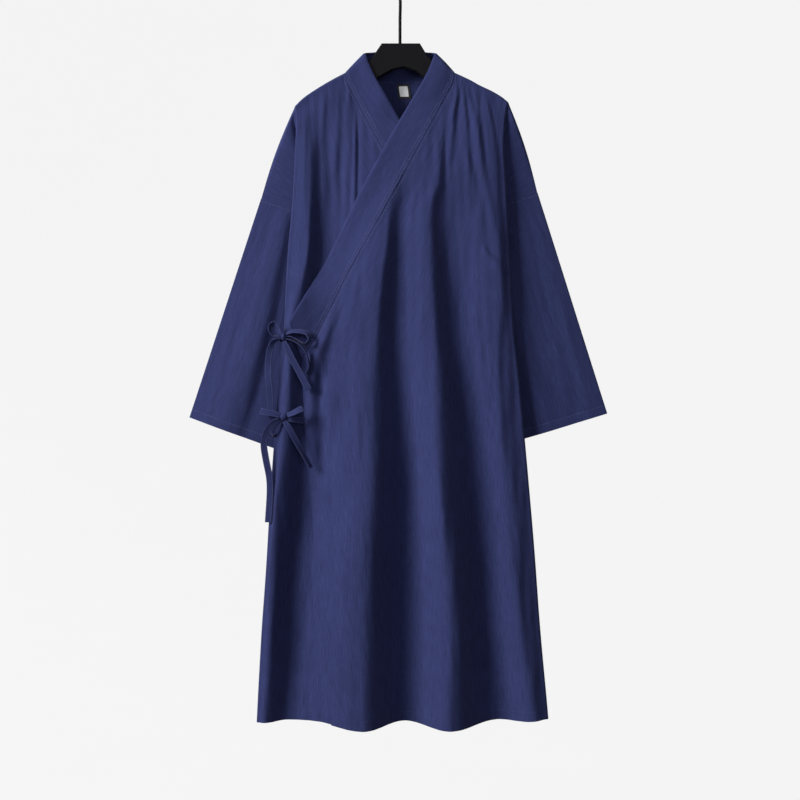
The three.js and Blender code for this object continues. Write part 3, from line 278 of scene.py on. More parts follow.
# The same rows down to the underarm: place on the pleat, on the armhole, the pleat's depths, fold share
SIDE_ROWS = [
    # pleat, arm, front pleat y, back pleat y, fold
    (0, 0, -0.15, 0.15, 0),
    (0.01, 0.012, -2.2, 2.2, 0),
    (0.04, 0.05, -4, 5, 0.1),
    (0.12, 0.14, -3.5, 7.5, 0.35),
    (0.25, 0.28, -1.5, 9.5, 0.7),
    (0.4, 0.42, 0, 11.5, 1),
    (0.55, 0.56, 2, 13.5, 1),
    (0.7, 0.7, 4.5, 15, 1),
    (0.85, 0.85, 7.5, 15, 1),
    (1, 1, 12, 12, 1),
]

# The two sides, measured outward from the middle
SIDES = {
    "left": {
        "sign": -1,
        "tip": (190, -264),
        "arm_top": (252, -431),
        "arm_inward": (-0.947, -0.322),
        "cuff_top": (383, -828),
        "cuff_inward": (-0.94, -0.343),
        "shoulder": [(98, -203), (121, -215), (153, -234), (177, -251), (190, -264)],
        "crest": 0.3,
        "trough": 0.66,
        "dimple": 3.6,
        "swell": 4.5,
    },
    "right": {
        "sign": 1,
        "tip": (196, -257),
        "arm_top": (249.5, -420),
        "arm_inward": (-0.951, -0.309),
        "cuff_top": (377, -821),
        "cuff_inward": (-0.957, -0.29),
        "shoulder": [(98, -203), (126, -216), (144, -226), (167, -237), (185, -248), (196, -257)],
        "crest": 0.72,
        "trough": 0.3,
        "dimple": 1.0,
        "swell": 2.5,
    },
}
SIDE_SEAM_OUT = [(0, 0), (115, 9), (265, 33), (415, 66), (565, 99), (715, 124), (900, 146)]
SIDE_SEAM_Y = [(0, 12), (400, 10), (900, 4)]

# Creases of the outer front: start x, z, end x, z, sideways bend, width, height (towards the viewer when
# positive), skew (0 a plain ridge, 1 a step whose left side stands forward)
OUTER_CREASES = [
    (104, -222, 92, -300, 3, 5, 1.6, 0.6),
    (110, -222, 90, -400, -4, 6, 2.0, 0.5),
    (114, -226, 124, -440, 5, 6, 2.0, 0.6),
    (126, -240, 150, -420, 6, 8, 2.0, 0.7),
    (140, -250, 168, -470, -4, 7, 1.8, 0.6),
    (160, -260, 178, -400, 3, 6, 1.5, 0.6),
    (120, -342, 150, -560, 8, 9, 1.8, 0.6),
    (150, -520, 192, -562, -3, 8, 2.6, 0.7),
    (70, -330, 60, -470, 4, 9, 1.3, 0.4),
    (30, -420, 14, -560, -3, 8, 1.2, 0.5),
    (-20, -480, -32, -640, 4, 9, 1.4, 0.3),
    (-104, -600, -136, -668, 4, 6, -1.9, 0.4),
    (-70, -560, -84, -690, -4, 8, 1.3, 0.5),
    (-130, -712, -60, -760, 6, 8, 1.3, 0.6),
    (-150, -740, -140, -900, 3, 7, 1.5, 0.5),
    (-120, -820, -128, -1030, -4, 9, 1.2, 0.6),
    (-30, -760, -36, -980, 3, 9, 1.1, 0.4),
    (40, -620, 46, -820, -3, 10, 1.2, 0.5),
    (86, -560, 100, -760, 4, 8, 1.3, 0.6),
    (140, -640, 152, -860, 4, 9, 1.4, 0.6),
    (176, -700, 190, -930, -3, 8, 1.3, 0.5),
    (70, -900, 78, -1150, 3, 10, 1.1, 0.4),
    (160, -980, 182, -1260, 5, 10, 1.3, 0.5),
    (-90, -1000, -92, -1240, -3, 10, 1.1, 0.6),
    (-40, -1090, -46, -1330, 3, 9, 1.1, 0.4),
    (200, -1040, 222, -1300, 4, 8, 1.4, 0.6),
    (110, -1180, 122, -1360, -3, 9, 1.1, 0.5),
    (-117, -630, -156, -778, 0, 20, 8.5, 0.9),
    (-155, -745, -154, -935, -2, 19, 10.5, 0.9),
    (-98, -645, -122, -880, -6, 24, 4.0, 0.9),
]
UNDER_CREASES = [
    (-88, -222, -94, -330, -3, 5, 1.4, 0.5),
    (-79, -290, -84, -530, 2, 5, 3.0, 0.75),
    (-90, -225, -92, -380, 3, 6, 1.4, 0.4),
    (-110, -235, -118, -400, 4, 7, 1.4, 0.5),
    (-135, -250, -132, -450, -5, 8, 1.6, 0.6),
    (-96, -380, -104, -520, 4, 8, 1.2, 0.4),
    (-170, -300, -176, -520, 3, 7, 1.3, 0.5),
    (-150, -480, -172, -640, -4, 8, 1.4, 0.5),
    (-194, -630, -196, -800, -2, 11, 2.6, 0.0),
    (-196, -900, -206, -1150, 3, 7, 1.2, 0.5),
    (-214, -1050, -224, -1310, -3, 8, 1.3, 0.6),
    (-160, -1150, -168, -1340, 3, 8, 1.1, 0.4),
]
BACK_CREASES = [
    (-60, -240, -84, -420, 4, 8, 1.5, 0.5),
    (66, -236, 88, -430, -5, 8, 1.5, 0.5),
    (-20, -232, -14, -400, 3, 9, 1.2, 0.3),
    (130, -270, 150, -470, 4, 8, 1.6, 0.6),
    (-140, -280, -158, -500, -4, 8, 1.6, 0.6),
    (20, -420, 34, -700, 5, 10, 1.3, 0.4),
    (-120, -520, -130, -800, 4, 10, 1.4, 0.5),
    (112, -560, 124, -840, -4, 10, 1.4, 0.5),
    (-40, -700, -46, -1000, 4, 11, 1.2, 0.4),
    (190, -560, 204, -860, 3, 8, 1.4, 0.6),
    (-196, -600, -212, -900, -3, 8, 1.4, 0.6),
    (60, -860, 70, -1180, 4, 11, 1.2, 0.5),
    (-150, -940, -160, -1260, -4, 11, 1.2, 0.4),
    (150, -1000, 166, -1300, 4, 10, 1.3, 0.5),
    (10, -1080, 6, -1340, 3, 10, 1.1, 0.4),
]

# Soft folds of the band: from and to as shares of its length from the outer front's end, place and width
# as shares of its own width from the seam, height outwards
BAND_FOLDS = [
    (0.05, 0.2, 0.5, 0.3, -2.6),
    (0.21, 0.37, 0.52, 0.3, 2.2),
    (0.38, 0.46, 0.3, 0.25, -1.0),
    (0.56, 0.66, 0.5, 0.3, 1.4),
    (0.66, 0.78, 0.4, 0.3, -1.6),
]

# Creases of each sleeve in its own measures: start and end as (share across, share down), then as above
SLEEVE_CREASES = {
    "left": [
        (0.28, -0.1, 0.53, 1.1, -0.06, 0.13, 3.4, 0.0),
        (0.36, -0.1, 0.63, 1.1, -0.06, 0.04, -2.4, 0.0),
        (0.22, 0.0, 0.3, 0.55, 0.02, 0.03, 1.1, 0.6),
        (0.8, 0.0, 0.7, 0.36, 0.02, 0.03, 1.2, 0.6),
        (0.86, 0.3, 0.84, 0.9, -0.01, 0.03, 1.0, 0.5),
        (0.14, 0.3, 0.16, 0.9, 0.01, 0.025, 0.9, 0.5),
    ],
    "right": [
        (0.62, 0.02, 0.66, 1.05, -0.02, 0.1, 1.8, 0.0),
        (0.5, 0.0, 0.52, 0.9, 0.02, 0.05, -1.2, 0.0),
        (0.22, 0.0, 0.34, 0.55, 0.02, 0.03, 1.1, 0.6),
        (0.82, 0.0, 0.76, 0.4, 0.02, 0.03, 1.2, 0.6),
        (0.3, 0.4, 0.34, 0.97, 0.02, 0.035, 1.0, 0.4),
        (0.12, 0.3, 0.14, 0.9, 0.01, 0.025, 0.9, 0.5),
    ],
}

# The bows: place of each knot and its half sizes, then its strands through rows of right, up, towards the
# viewer, share of the full width, turn and, for some, the direction across the strip
TIE_WIDTH = 11.5
TIE_WALL = 1.5
TIE_CROWN = 0.3
TIE_RIDGE = 0.3
TIE_RIDGE_PLACE = 0.8
TIE_RIDGE_WIDTH = 0.16
STRAND_FINE = 9
STRAND_ACROSS = 12
TIE_STITCH_COLUMNS = (1.2, 10.8)
KNOT_COLUMNS = 48
KNOT_ROWS = 28
KNOT_WRAP = 0.07
KNOT_WRAP_TURNS = 3
KNOT_WRAP_LEAN = 0.8
KNOT_FOLD = 0.04
KNOT_SQUARENESS = 0.85
KNOT_END_SHARE = 0.03
BOWS = {
    "upper": {
        "knot": (-209, -34, -683, 4.3, 4.6, 6.9),
        "strands": {
            "loop_left": [
                (-5, 4, 0, 0.6, 40), (-10, 14, 0, 0.9, 22), (-16, 23, 1, 1, 30), (-22.5, 21, 1, 1, 62),
                (-25, 12, 0, 1, 75), (-19, 3, 0, 0.9, 78), (-11, 0.5, 0, 0.8, 78), (-5.2, 0.3, 0, 0.6, 78),
            ],
            "loop_right": [
                (5, 4.2, 0, 0.6, 60), (14, 8.5, 0, 0.8, 52), (28, 9.5, 0, 1, 46), (43, 5.5, 0, 1, 46),
                (47.5, -5, 0, 1, 58), (40, -12.5, 0, 1, 74), (25, -5.5, 0, 0.9, 78), (13, -0.5, 0, 0.8, 78),
                (5.2, 0.4, 0, 0.6, 78),
            ],
            "tail_left": [
                (-4.8, -3.6, 0, 0.6, 78), (-11, -5, 0.5, 0.8, 66), (-19, -9.5, 1, 0.9, 40),
                (-24, -24, 0, 1, 12), (-27, -48, -2, 1, 4), (-27.5, -66, -3, 1, -8), (-25, -97, -5, 1, 6),
                (-23, -129, -6, 1, 4), (-20, -149, -6, 1, 0),
            ],
            "tail_right": [
                (0.5, -7.7, 0, 0.6, 8), (6, -18, 1, 0.85, 4), (15, -38, 0, 1, 0), (30, -66, -3, 1, -4),
                (45, -94.5, -6, 1.05, 0),
            ],
            "lead_edge": [
                (4.4, -4, 0, 0.6, 80), (15, -6.5, 0, 0.8, 82), (33, -18, -1, 0.95, 84),
                (42.5, -35, -3, 1, 84), (45, -54, -6.6, 1, 84), (40, -65, -9, 1, 84),
            ],
            "lead_side": [
                (-0.6, 0, -5.9, 0.6, 0, 90), (-5.8, -1, -9.5, 0.7, 0, 90), (-8, -2, -16, 0.8, 0, 90),
                (-7, -3, -23, 0.9, 0, 90), (0, -4, -29, 1, 0, 90), (15, -6, -33, 1, 0, 88),
                (45, -9, -37.5, 1, 0, 86), (76, -12, -42.8, 1, 0, 84),
            ],
        },
    },
    "lower": {
        "knot": (-208, -37, -826, 6.4, 5, 6.9),
        "strands": {
            "loop_left": [
                (-6.5, 2.5, 1.6, 0.65, 12), (-18, 5.5, 2.4, 0.95, 6), (-33, 8.5, 2.2, 1, 4),
                (-40.5, 10, 0.4, 1, 4), (-33, 8.5, -1.6, 1, 4), (-18, 5.5, -2, 0.95, 6),
                (-6.5, 2.5, -1.6, 0.65, 12),
            ],
            "loop_right": [
                (6.6, 2.2, 1.8, 0.65, 30), (15, 5.5, 3, 0.9, 34), (27, 11.5, 3, 1, 26),
                (34, 14.5, 0.5, 1, 18), (27, 11.5, -2.2, 1, 22), (15, 5.5, -2.4, 0.9, 26),
                (6.6, 2.2, -1.8, 0.65, 24),
            ],
            "tail_left": [
                (-6.4, -3.6, 1, 0.6, 40), (-16, -8, 1.5, 0.8, 26), (-28, -20, 0.5, 0.9, 20),
                (-33.5, -34, 0, 1, 16), (-35.5, -51, -0.5, 1, 12), (-32.5, -73, -1, 1, 8),
                (-25.5, -110, -2, 1, 4), (-24.5, -132, -2, 1, 2), (-27.5, -189, 0, 1, 0),
            ],
            "tail_right": [
                (1, -7.8, 0, 0.65, 6), (8, -18, 0.5, 0.9, 10), (22, -44, -3, 1, 26), (36, -70, -8, 0.95, 48),
                (48, -92, -13, 0.95, 60),
            ],
            "lead_edge": [
                (6.9, -3.6, -0.5, 0.6, 0), (14, -5, -1, 0.8, 0), (24, -6, -7, 1, 0), (36, -7, -15.4, 1, 0),
            ],
            "lead_side": [
                (-4.2, -6.2, -3, 0.5, 0, 145), (-11, -14, -3.8, 0.7, 0, 145),
                (-17.5, -25, -5.5, 0.8, 0, 145), (-22, -31, -11, 0.85, 0, 140),
                (-23, -33, -18, 0.85, 0, 130), (-20.5, -35, -26, 0.9, 0, 115),
                (-6, -36, -33, 1, 0, 100), (25, -38, -40, 1, 0, 92), (48, -40, -46, 1, 0, 90),
            ],
        },
    },
}

# The label inside the back of the neck: left, right, top, bottom, distance from the cloth
LABEL = (-6, 17, -217, -244, 0.4)
LABEL_TAB = (-3, 13, -221, -240, 1.2)
LABEL_WALL = 0.7
LABEL_TILT = 8.0
LABEL_CURL = 0.25
LABEL_CURL_REACH = 20
LABEL_COLUMNS = 24
LABEL_ROWS = 28

# Stitching
STITCH_PITCH = 3.4
STITCH_LENGTH = 2.3
STITCH_RADIUS = 0.36
STITCH_SIDES = 6
STITCH_RING_PLACES = (-0.5, -0.28, 0.28, 0.5)
STITCH_RING_SIZES = (0.25, 1.0, 1.0, 0.25)
STITCH_FLATNESS = 0.8
STITCH_FIRST_ROW = 3
STITCH_ROW_STEP = 2.0
FRONT_STITCH_INSET = 4.5
BAND_STITCH_COLUMNS = (0.5, 1.6)
NECK_STITCH_ROW = 6
NECK_STITCH_REACH = 70.0
HEM_STITCH_UP = 20.0
FRONT_HEM_COLUMN = 40
BACK_HEM_COLUMN = 60
NECK_ROUND_BLEND = (-4, 10)
NECK_ROUND_FLATNESS = 0.4
NECK_ROUND_DEPTH = 1.0
CUFF_STITCH_SHARE = 0.965
ARMHOLE_STITCH_SHARE = 0.012
SHARP_ANGLE = 55.0
GROOVE_WIDTH = 2.2
GROOVE_DEPTH = 0.5

# Camera: distance in front of the origin, its height and its lens
CAMERA_Y = -2520.0
CAMERA_Z = -796.2
CAMERA_LENS = 62.5
SENSOR_WIDTH = 36.0

# Each sheet's width and length laid flat, in metres, and its area where it is no rectangle
SHEETS = {
    "outer_front": ((0.56, 1.19), 0.53),
    "under_front": ((0.52, 1.19), 0.48),
    "back": ((0.66, 1.17), 0.67),
    "collar_band": ((0.05, 1.42), None),
    "sleeve_left": ((0.345, 0.42), None),
    "sleeve_right": ((0.345, 0.42), None),
}

# The least width given for a tie's strip laid flat, in metres
TIE_LEAST_WIDTH = 0.0101

# The cloth's threads: grains per metre across and down, detail and roughness of each noise, its share in
# the colour and its share in the relief
THREADS = {
    "slub": ((900, 34, 1), 3.0, 0.6, 0.62, 0.62),
    "weft": ((60, 1100, 1), 2.0, 0.5, 0.18, 0.18),
    "cloud": ((9, 4, 1), 4.0, 0.55, 0.2, 0.0),
    "crepe": ((420, 420, 1), 4.0, 0.65, 0.0, 0.5),
    "crinkle": ((62, 9, 1), 3.0, 0.5, 0.0, 3.2),
}
DYE_RANGE = (0.33, 0.68)
CLOTH_BUMP = (0.55, 0.0006)
CLOTH_ROUGHNESS = (0.8, 0.15)
CLOTH_SPECULAR = 0.22
CLOTH_SHEEN = (0.06, 0.5)

# The other finishes: dark and light colour, grains per metre, roughness, grain height in metres, specular
FINISHES = {
    "label_satin": ((0.006, 0.006, 0.008), (0.02, 0.02, 0.024), (3000, 3000, 900), 0.6, 0.0001, 0.4),
    "tab_cotton": ((0.80, 0.80, 0.81), (0.92, 0.92, 0.93), (2400, 2400, 1200), 0.85, 0.0001, 0.4),
    "light_thread": ((0.075, 0.082, 0.20), (0.11, 0.12, 0.27), (4000, 4000, 4000), 0.6, 0.00005, 0.4),
    "dark_thread": ((0.024, 0.028, 0.10), (0.045, 0.05, 0.16), (4000, 4000, 4000), 0.6, 0.00005, 0.4),
    "black_plastic": ((0.003, 0.003, 0.004), (0.006, 0.006, 0.008), (700, 700, 700), 0.5, 0.00006, 0.12),
    "black_wire": ((0.002, 0.002, 0.003), (0.005, 0.005, 0.006), (500, 500, 90), 0.55, 0.00004, 0.08),
    "studio_pale": ((0.020, 0.020, 0.020), (0.024, 0.024, 0.024), (3, 3, 3), 0.9, 0.0001, 0.0),
}
GRAIN_DETAIL = 4.0
GRAIN_ROUGHNESS = 0.6
GRAIN_RANGE = (0.35, 0.7)
GRAIN_BUMP = 0.4

# Directions, the least length of a vector and the least distance between two points of a curve
TO_VIEWER = np.array([0, -1.0, 0])
FROM_VIEWER = np.array([0, 1.0, 0])
LEAST_LENGTH = 1e-9
LEAST_GAP = 1e-6

# Studio, in metres: a bowl round the dress, its own glow, and the lights with their share of the key's power
FLOOR_Z = -1.65
FLOOR_RADIUS = 3.0
WALL_RADIUS = 7.0
WALL_TOP = 7.0
FLOOR_MIDDLE_RADIUS = 0.001
BOWL_SIDES = 96
BOWL_BENDS = 16
BOWL_GLOW = 0.89
WHITE = (1.0, 1.0, 1.0, 1.0)
CAMERA_REACH = 100.0
LIGHT_AIM = (0.0, 0.0, -0.75)
LIGHTS = (
    # name, place, size, share of the power
    ("key_light", (-4.05, -2.5, 1.4), 2.2, 1.0),
    ("front_light", (0.6, -4.6, 0.2), 2.6, 0.09),
    ("rear_light", (-4.2, 3.0, 1.2), 2.4, 0.55),
)


def mix(a, b, t):
    """a + (b - a) t."""
    return a + (b - a) * t


def smooth(t):
    """3 s^2 - 2 s^3 with s = t held between 0 and 1."""
    s = np.clip(t, 0, 1)
    return s * s * (3 - 2 * s)


def blend(value, start_and_span):
    """smooth((value - start) / span)."""
    start, span = start_and_span
    return smooth((value - start) / span)


def unit(v):
    """Vectors of length 1 along v."""
    return v / np.maximum(np.linalg.norm(v, axis=-1, keepdims=True), LEAST_LENGTH)


def track(rows):
    """A smooth line through (place, value) rows: a cubic Hermite line whose slope at each row is the
    harmonic mean of its neighbours' slopes, or 0 at a turning point."""
    table = np.array(sorted(rows), float)
    place = table[:, 0]
    value = table[:, 1]
    step = np.diff(value) / np.diff(place)
    product = step[:-1] * step[1:]
    total = np.where(product > 0, step[:-1] + step[1:], 1.0)
    slope = np.concatenate(([step[0]], np.where(product > 0, 2 * product / total, 0.0), [step[-1]]))

    def line(at):
        """The Hermite line's value, held at its end rows beyond them."""
        at = np.clip(at, place[0], place[-1])
        i = np.clip(np.searchsorted(place, at, side="right") - 1, 0, len(place) - 2)
        span = place[i + 1] - place[i]
        t = (at - place[i]) / span
        t2 = t * t
        t3 = t2 * t
        return (
            (2 * t3 - 3 * t2 + 1) * value[i]
            + (t3 - 2 * t2 + t) * span * slope[i]
            + (3 * t2 - 2 * t3) * value[i + 1]
            + (t3 - t2) * span * slope[i + 1]
        )

    return line


def by_row(values):
    """A smooth line through values at rows 0, 1, 2 and so on."""
    return track(list(enumerate(values)))


def folded_form(x_rows, y_rows):
    """Depth y(x, z): half a cosine wave between neighbouring fold lines."""
    count = len(x_rows[0])
    xs = [track([(row[0], row[i]) for row in x_rows]) for i in range(1, count)]
    ys = [track([(row[0], row[i]) for row in y_rows]) for i in range(1, count)]

    def depth(x, z):
        """y0 + sum of (y1 - y0) (1 - cos(pi t)) / 2, t the share of the way from line to line."""
        places = [line(z) for line in xs]
        depths = [line(z) for line in ys]
        result = depths[0] + 0 * x
        for i in range(len(xs) - 1):
            t = np.clip((x - places[i]) / (places[i + 1] - places[i]), 0, 1)
            result = result + (depths[i + 1] - depths[i]) * (1 - np.cos(np.pi * t)) / 2
        return result

    return depth


front_form = folded_form(FRONT_X, FRONT_Y)
back_form = folded_form(BACK_X, BACK_Y)
front_edge = {
    -1: track([(row[0], row[1]) for row in FRONT_X]),
    1: track([(row[0], row[-1]) for row in FRONT_X]),
}
front_seam = track(FRONT_SEAM)
band_edge = track(BAND_EDGE)
hem_line = track(HEM)
under_rest = track(UNDER_REST)
side_seam_out = track(SIDE_SEAM_OUT)
side_seam_y = track(SIDE_SEAM_Y)
over_hanger = track(HANGER_DRAPE)
row_inner = by_row(ROW_INNER)
row_edge = by_row(ROW_EDGE)
row_middle = by_row(BACK_MIDDLE_Z)
row_pleat = by_row([row[0] for row in SIDE_ROWS])
row_arm = by_row([row[1] for row in SIDE_ROWS])
row_front_pleat = by_row([row[2] for row in SIDE_ROWS])
row_back_pleat = by_row([row[3] for row in SIDE_ROWS])
row_fold = by_row([row[4] for row in SIDE_ROWS])
neck_depth = track([(0, NECK_MIDDLE[1])] + [(row[0], row[1]) for row in NECK])


def crease_height(creases, x, z, strength):
    """Sum of soft creases: along each, height exp(-(d / width)^2) with d the distance from its bent line;
    a skewed crease turns into a step, (1 - skew) ridge + skew * step, fading out at both ends."""
    total = 0 * x
    for x0, z0, x1, z1, bend, width, height, skew in creases:
        length = math.hypot(x1 - x0, z1 - z0)
        ax = (x1 - x0) / length
        az = (z1 - z0) / length
        s = ((x - x0) * ax + (z - z0) * az) / length
        inside = np.clip(s, 0, 1)
        d = (x - x0) * -az + (z - z0) * ax - bend * np.sin(np.pi * inside)
        q = d / (width * (CREASE_WIDTH[0] + CREASE_WIDTH[1] * inside))
        bell = np.exp(-q * q)
        ends = blend(s, CREASE_START_FADE) * blend(-s, CREASE_END_FADE)
        total = total + height * ends * ((1 - skew) * bell - skew * CREASE_STEP_GAIN * q * bell)
    return strength * total


def soft_waves(x, z, seed, strength):
    """Faint unevenness: a sum of sine waves, longer down than across, with seeded directions."""
    random = np.random.default_rng(seed)
    total = 0 * x
    for _ in range(SOFT_WAVE_COUNT):
        across = 2 * np.pi / random.uniform(*SOFT_WAVE_WIDTH)
        down = 2 * np.pi / random.uniform(*SOFT_WAVE_LENGTH)
        phase = random.uniform(0, 2 * np.pi)
        lean = random.choice([-1, 1])
        total = total + np.sin(across * x + lean * down * z + phase) * random.uniform(*SOFT_WAVE_SIZE)
    return strength * total / SOFT_WAVE_COUNT ** 0.5


def fine_folds(x, z, seed, strength):
    """Narrow upright wrinkles: sums of steep waves, each fading in and out down the cloth."""
    random = np.random.default_rng(seed)
    total = 0 * x
    for _ in range(FINE_FOLD_COUNT):
        across = 2 * np.pi / random.uniform(*FINE_FOLD_WIDTH)
        lean = random.uniform(-FINE_FOLD_LEAN, FINE_FOLD_LEAN)
        phase = random.uniform(0, 2 * np.pi)
        fade_phase = random.uniform(0, 2 * np.pi)
        fade = 2 * np.pi / random.uniform(*FINE_FOLD_LENGTH)
        side_fade = 2 * np.pi / random.uniform(*FINE_FOLD_SIDE_FADE)
        here = np.clip(np.sin(fade * z + side_fade * x + fade_phase), 0, 1)
        total = total + here * np.sin(across * (x + lean * z) + phase)
    return strength * FINE_FOLD_HEIGHT * total


def cloth_relief(name, creases, x, z, strength, size=(1, 1)):
    """A piece's creases plus its faint waves and fine wrinkles, which are read at x and z times size."""
    seed, wave = SOFT_WAVES[name]
    waves = soft_waves(x * size[0], z * size[1], seed, wave * strength)
    folds = fine_folds(x * size[0], z * size[1], FINE_FOLD_SEEDS[name], strength)
    return crease_height(creases, x, z, strength) + waves + folds


def shoulder_line(side):
    """Height of the shoulder seam by the distance from the middle."""
    return track(side["shoulder"])


def underarm(side):
    """The armhole's lower end: its top plus its width along its direction."""
    return (
        side["arm_top"][0] + ARMHOLE_WIDTH * side["arm_inward"][0],
        side["arm_top"][1] + ARMHOLE_WIDTH * side["arm_inward"][1],
    )


def points(x, y, z):
    """Stacks x, y and z, spread to one shape, into an array of points."""
    return np.stack(np.broadcast_arrays(x, y, z), axis=-1).astype(float)


def arm_half(place, deepest):
    """Half the depth of a sleeve across it: deepest sin(pi place)^roundness."""
    return deepest * np.sin(np.pi * np.clip(place, 0, 1)) ** SLEEVE_ROUNDNESS


def armhole_line(side, place, facing):
    """The armhole from shoulder (0) to underarm (1), front half (facing -1) or back half (+1)."""
    x = side["arm_top"][0] + place * ARMHOLE_WIDTH * side["arm_inward"][0]
    z = side["arm_top"][1] + place * ARMHOLE_WIDTH * side["arm_inward"][1]
    half = np.maximum(SEAM_GAP / 2, arm_half(place, ARMHOLE_HALF_DEPTH))
    return points(side["sign"] * x, mix(ARMHOLE_START_Y, UNDERARM_Y, place) + facing * half, z)


def drop_line(side, t, facing):
    """The shoulder seam beyond the hanger's tip, from the pleat to the top of the armhole."""
    start = side["tip"]
    end = side["arm_top"]
    length = math.hypot(end[0] - start[0], end[1] - start[1])
    bow = DROP_BOW * np.sin(np.pi * t)
    x = mix(start[0], end[0], t) - bow * (end[1] - start[1]) / length
    z = mix(start[1], end[1], t) + bow * (end[0] - start[0]) / length
    return points(side["sign"] * x, mix(0, ARMHOLE_START_Y, t) + facing * SEAM_GAP / 2, z)


def pleat_line(side, place, y):
    """The bottom of the side pleat from shoulder to underarm, a quadratic curve."""
    start = drop_line(side, np.array(PLEAT_START), 0)
    end = underarm(side)
    a = (1 - place) ** 2
    b = 2 * place * (1 - place)
    c = place ** 2
    x = a * start[0] + b * side["sign"] * (side["tip"][0] - PLEAT_BEND_INWARD) + c * side["sign"] * end[0]
    z = a * start[2] + b * (side["tip"][1] - PLEAT_BEND_DOWN) + c * end[1]
    return points(x, y, z)


def edge_height(side, k):
    """Height of row k at the side edge; below the underarm it settles to the row's own height."""
    z = side["tip"][1] + row_edge(k)
    return mix(z, row_inner(k), smooth((k - UNDERARM_ROW) / SETTLE_ROWS))


def return_end(side, k, facing, z):
    """Where the folded-back cloth ends: on the pleat above the underarm, on the side seam below."""
    pleat_y = row_front_pleat(k) if facing < 0 else row_back_pleat(k)
    above = pleat_line(side, row_pleat(k), pleat_y)
    end = underarm(side)
    below = np.maximum(0, end[1] - z)
    seam_x = side["sign"] * (end[0] + side_seam_out(below))
    seam = points(seam_x, side_seam_y(below) + facing * SEAM_GAP / 2, z)
    return mix(above, seam, smooth(k - UNDERARM_ROW)[..., None])


def return_surface(side, k, edge, nose, facing):
    """The cloth beyond the side edge: half an ellipse round the edge, x = edge + r sin a,
    y = edge + nose (1 - cos a) / 2, then back to the pleat or seam with y going as 1 - t^2."""
    sign = side["sign"]
    fold = row_fold(k)[:, None, None]
    inner = return_end(side, k, facing, edge[:, 2])[:, None, :]
    start = edge[:, None, :]
    a = np.linspace(0, np.pi, NOSE_STEPS + 1)[None, 1:]
    round_x = start[..., 0] + sign * (EDGE_ROUND * np.sin(a) - RETURN_INSET * a / np.pi)
    round_y = start[..., 1] + nose * (1 - np.cos(a)) / 2
    rounded = points(round_x, round_y, start[..., 2])
    flat_round = mix(start, inner, (RETURN_START_SHARE * a / np.pi)[..., None])
    t = np.linspace(0, 1, RETURN_STEPS + 1)[None, 1:]
    back_x = mix(start[..., 0] - sign * RETURN_INSET, inner[..., 0], t)
    back_y = mix(inner[..., 1], start[..., 1] + nose, 1 - t * t)
    back = points(back_x, back_y, mix(start[..., 2], inner[..., 2], t))
    flat_back = mix(start, inner, (RETURN_START_SHARE + (1 - RETURN_START_SHARE) * t)[..., None])
    return np.concatenate((mix(flat_round, rounded, fold), mix(flat_back, back, fold)), axis=1)


def drop_surface(side, k, inner, facing):
    """The dropped shoulder end: straight lines from the pleat to the armhole, bowed as its seam is, with a
    dimple by the pleat and a swell past it. Both go as q exp(1 - q) along the line, q the share t over
    their own place, and the swell as 1 - t^2 too."""
    t = np.linspace(0, 1, DROP_STEPS + 1)[None, :, None] ** DROP_STEP_POWER
    outer = armhole_line(side, row_arm(k), facing)[:, None, :]
    seam = drop_line(side, mix(PLEAT_START, 1, t[..., 0]), facing)
    chord = mix(seam[:, :1], seam[:, -1:], t)
    bow = (seam - chord) * (1 - row_arm(k))[:, None, None]
    bow[..., 1] = 0
    surface = mix(inner[:, None, :], outer, t) + bow
    near = t[..., 0] / DIMPLE_PLACE * np.exp(1 - t[..., 0] / DIMPLE_PLACE)
    rows = (np.exp(-(((k - DIMPLE_ROWS[0]) / DIMPLE_ROWS[1]) ** 2)) * smooth(k / DIMPLE_START_ROWS))[:, None]
    surface[..., 1] -= facing * side["dimple"] * near * rows
    far = t[..., 0] / SWELL_PLACE * np.exp(1 - t[..., 0] / SWELL_PLACE) * (1 - t[..., 0] ** 2)
    surface[..., 1] += facing * side["swell"] * far * np.sin(np.pi * k / UNDERARM_ROW)[:, None]
    return surface


def inner_line(sign, x):
    """x of a front's inner line; the under front's hidden part reaches a little less far."""
    if sign > 0:
        return x
    return np.where(x < 0, -x * UNDERLAP_SHARE, -x)


def shoulder_rise(side, x):
    """Height of the shoulder seam over the straight line from the neck to the hanger's tip."""
    share = (x - NECK_SIDE_X) / (side["tip"][0] - NECK_SIDE_X)
    rise = shoulder_line(side)(x) - mix(NECK_SIDE_Z, side["tip"][1], share)
    return np.where(x > NECK_SIDE_X, rise, 0)


def under_form(x, z):
    """As the shared form where the under front shows, flatter where the outer front covers it."""
    cover = np.where(z > BAND_EDGE[-1][0], band_edge(z), front_seam(z))
    covered = blend(x - cover, COVER_ACROSS) * blend(-z, COVER_DOWN)
    return mix(front_form(x, z), under_rest(z), UNDER_RELAX * covered)


def front_depth(x, z, form, side, lift):
    """Over the hanger near the shoulder, then the folded form with its own lift."""
    reach = np.where(np.abs(x) >= NECK_SIDE_X, shoulder_line(side)(np.abs(x)), NECK_SIDE_Z)
    drop = np.maximum(0, reach - z)
    far = form(x, z) + lift * blend(drop, LIFT_BLEND)
    return mix(-over_hanger(drop), far, blend(drop, FRONT_BLEND))


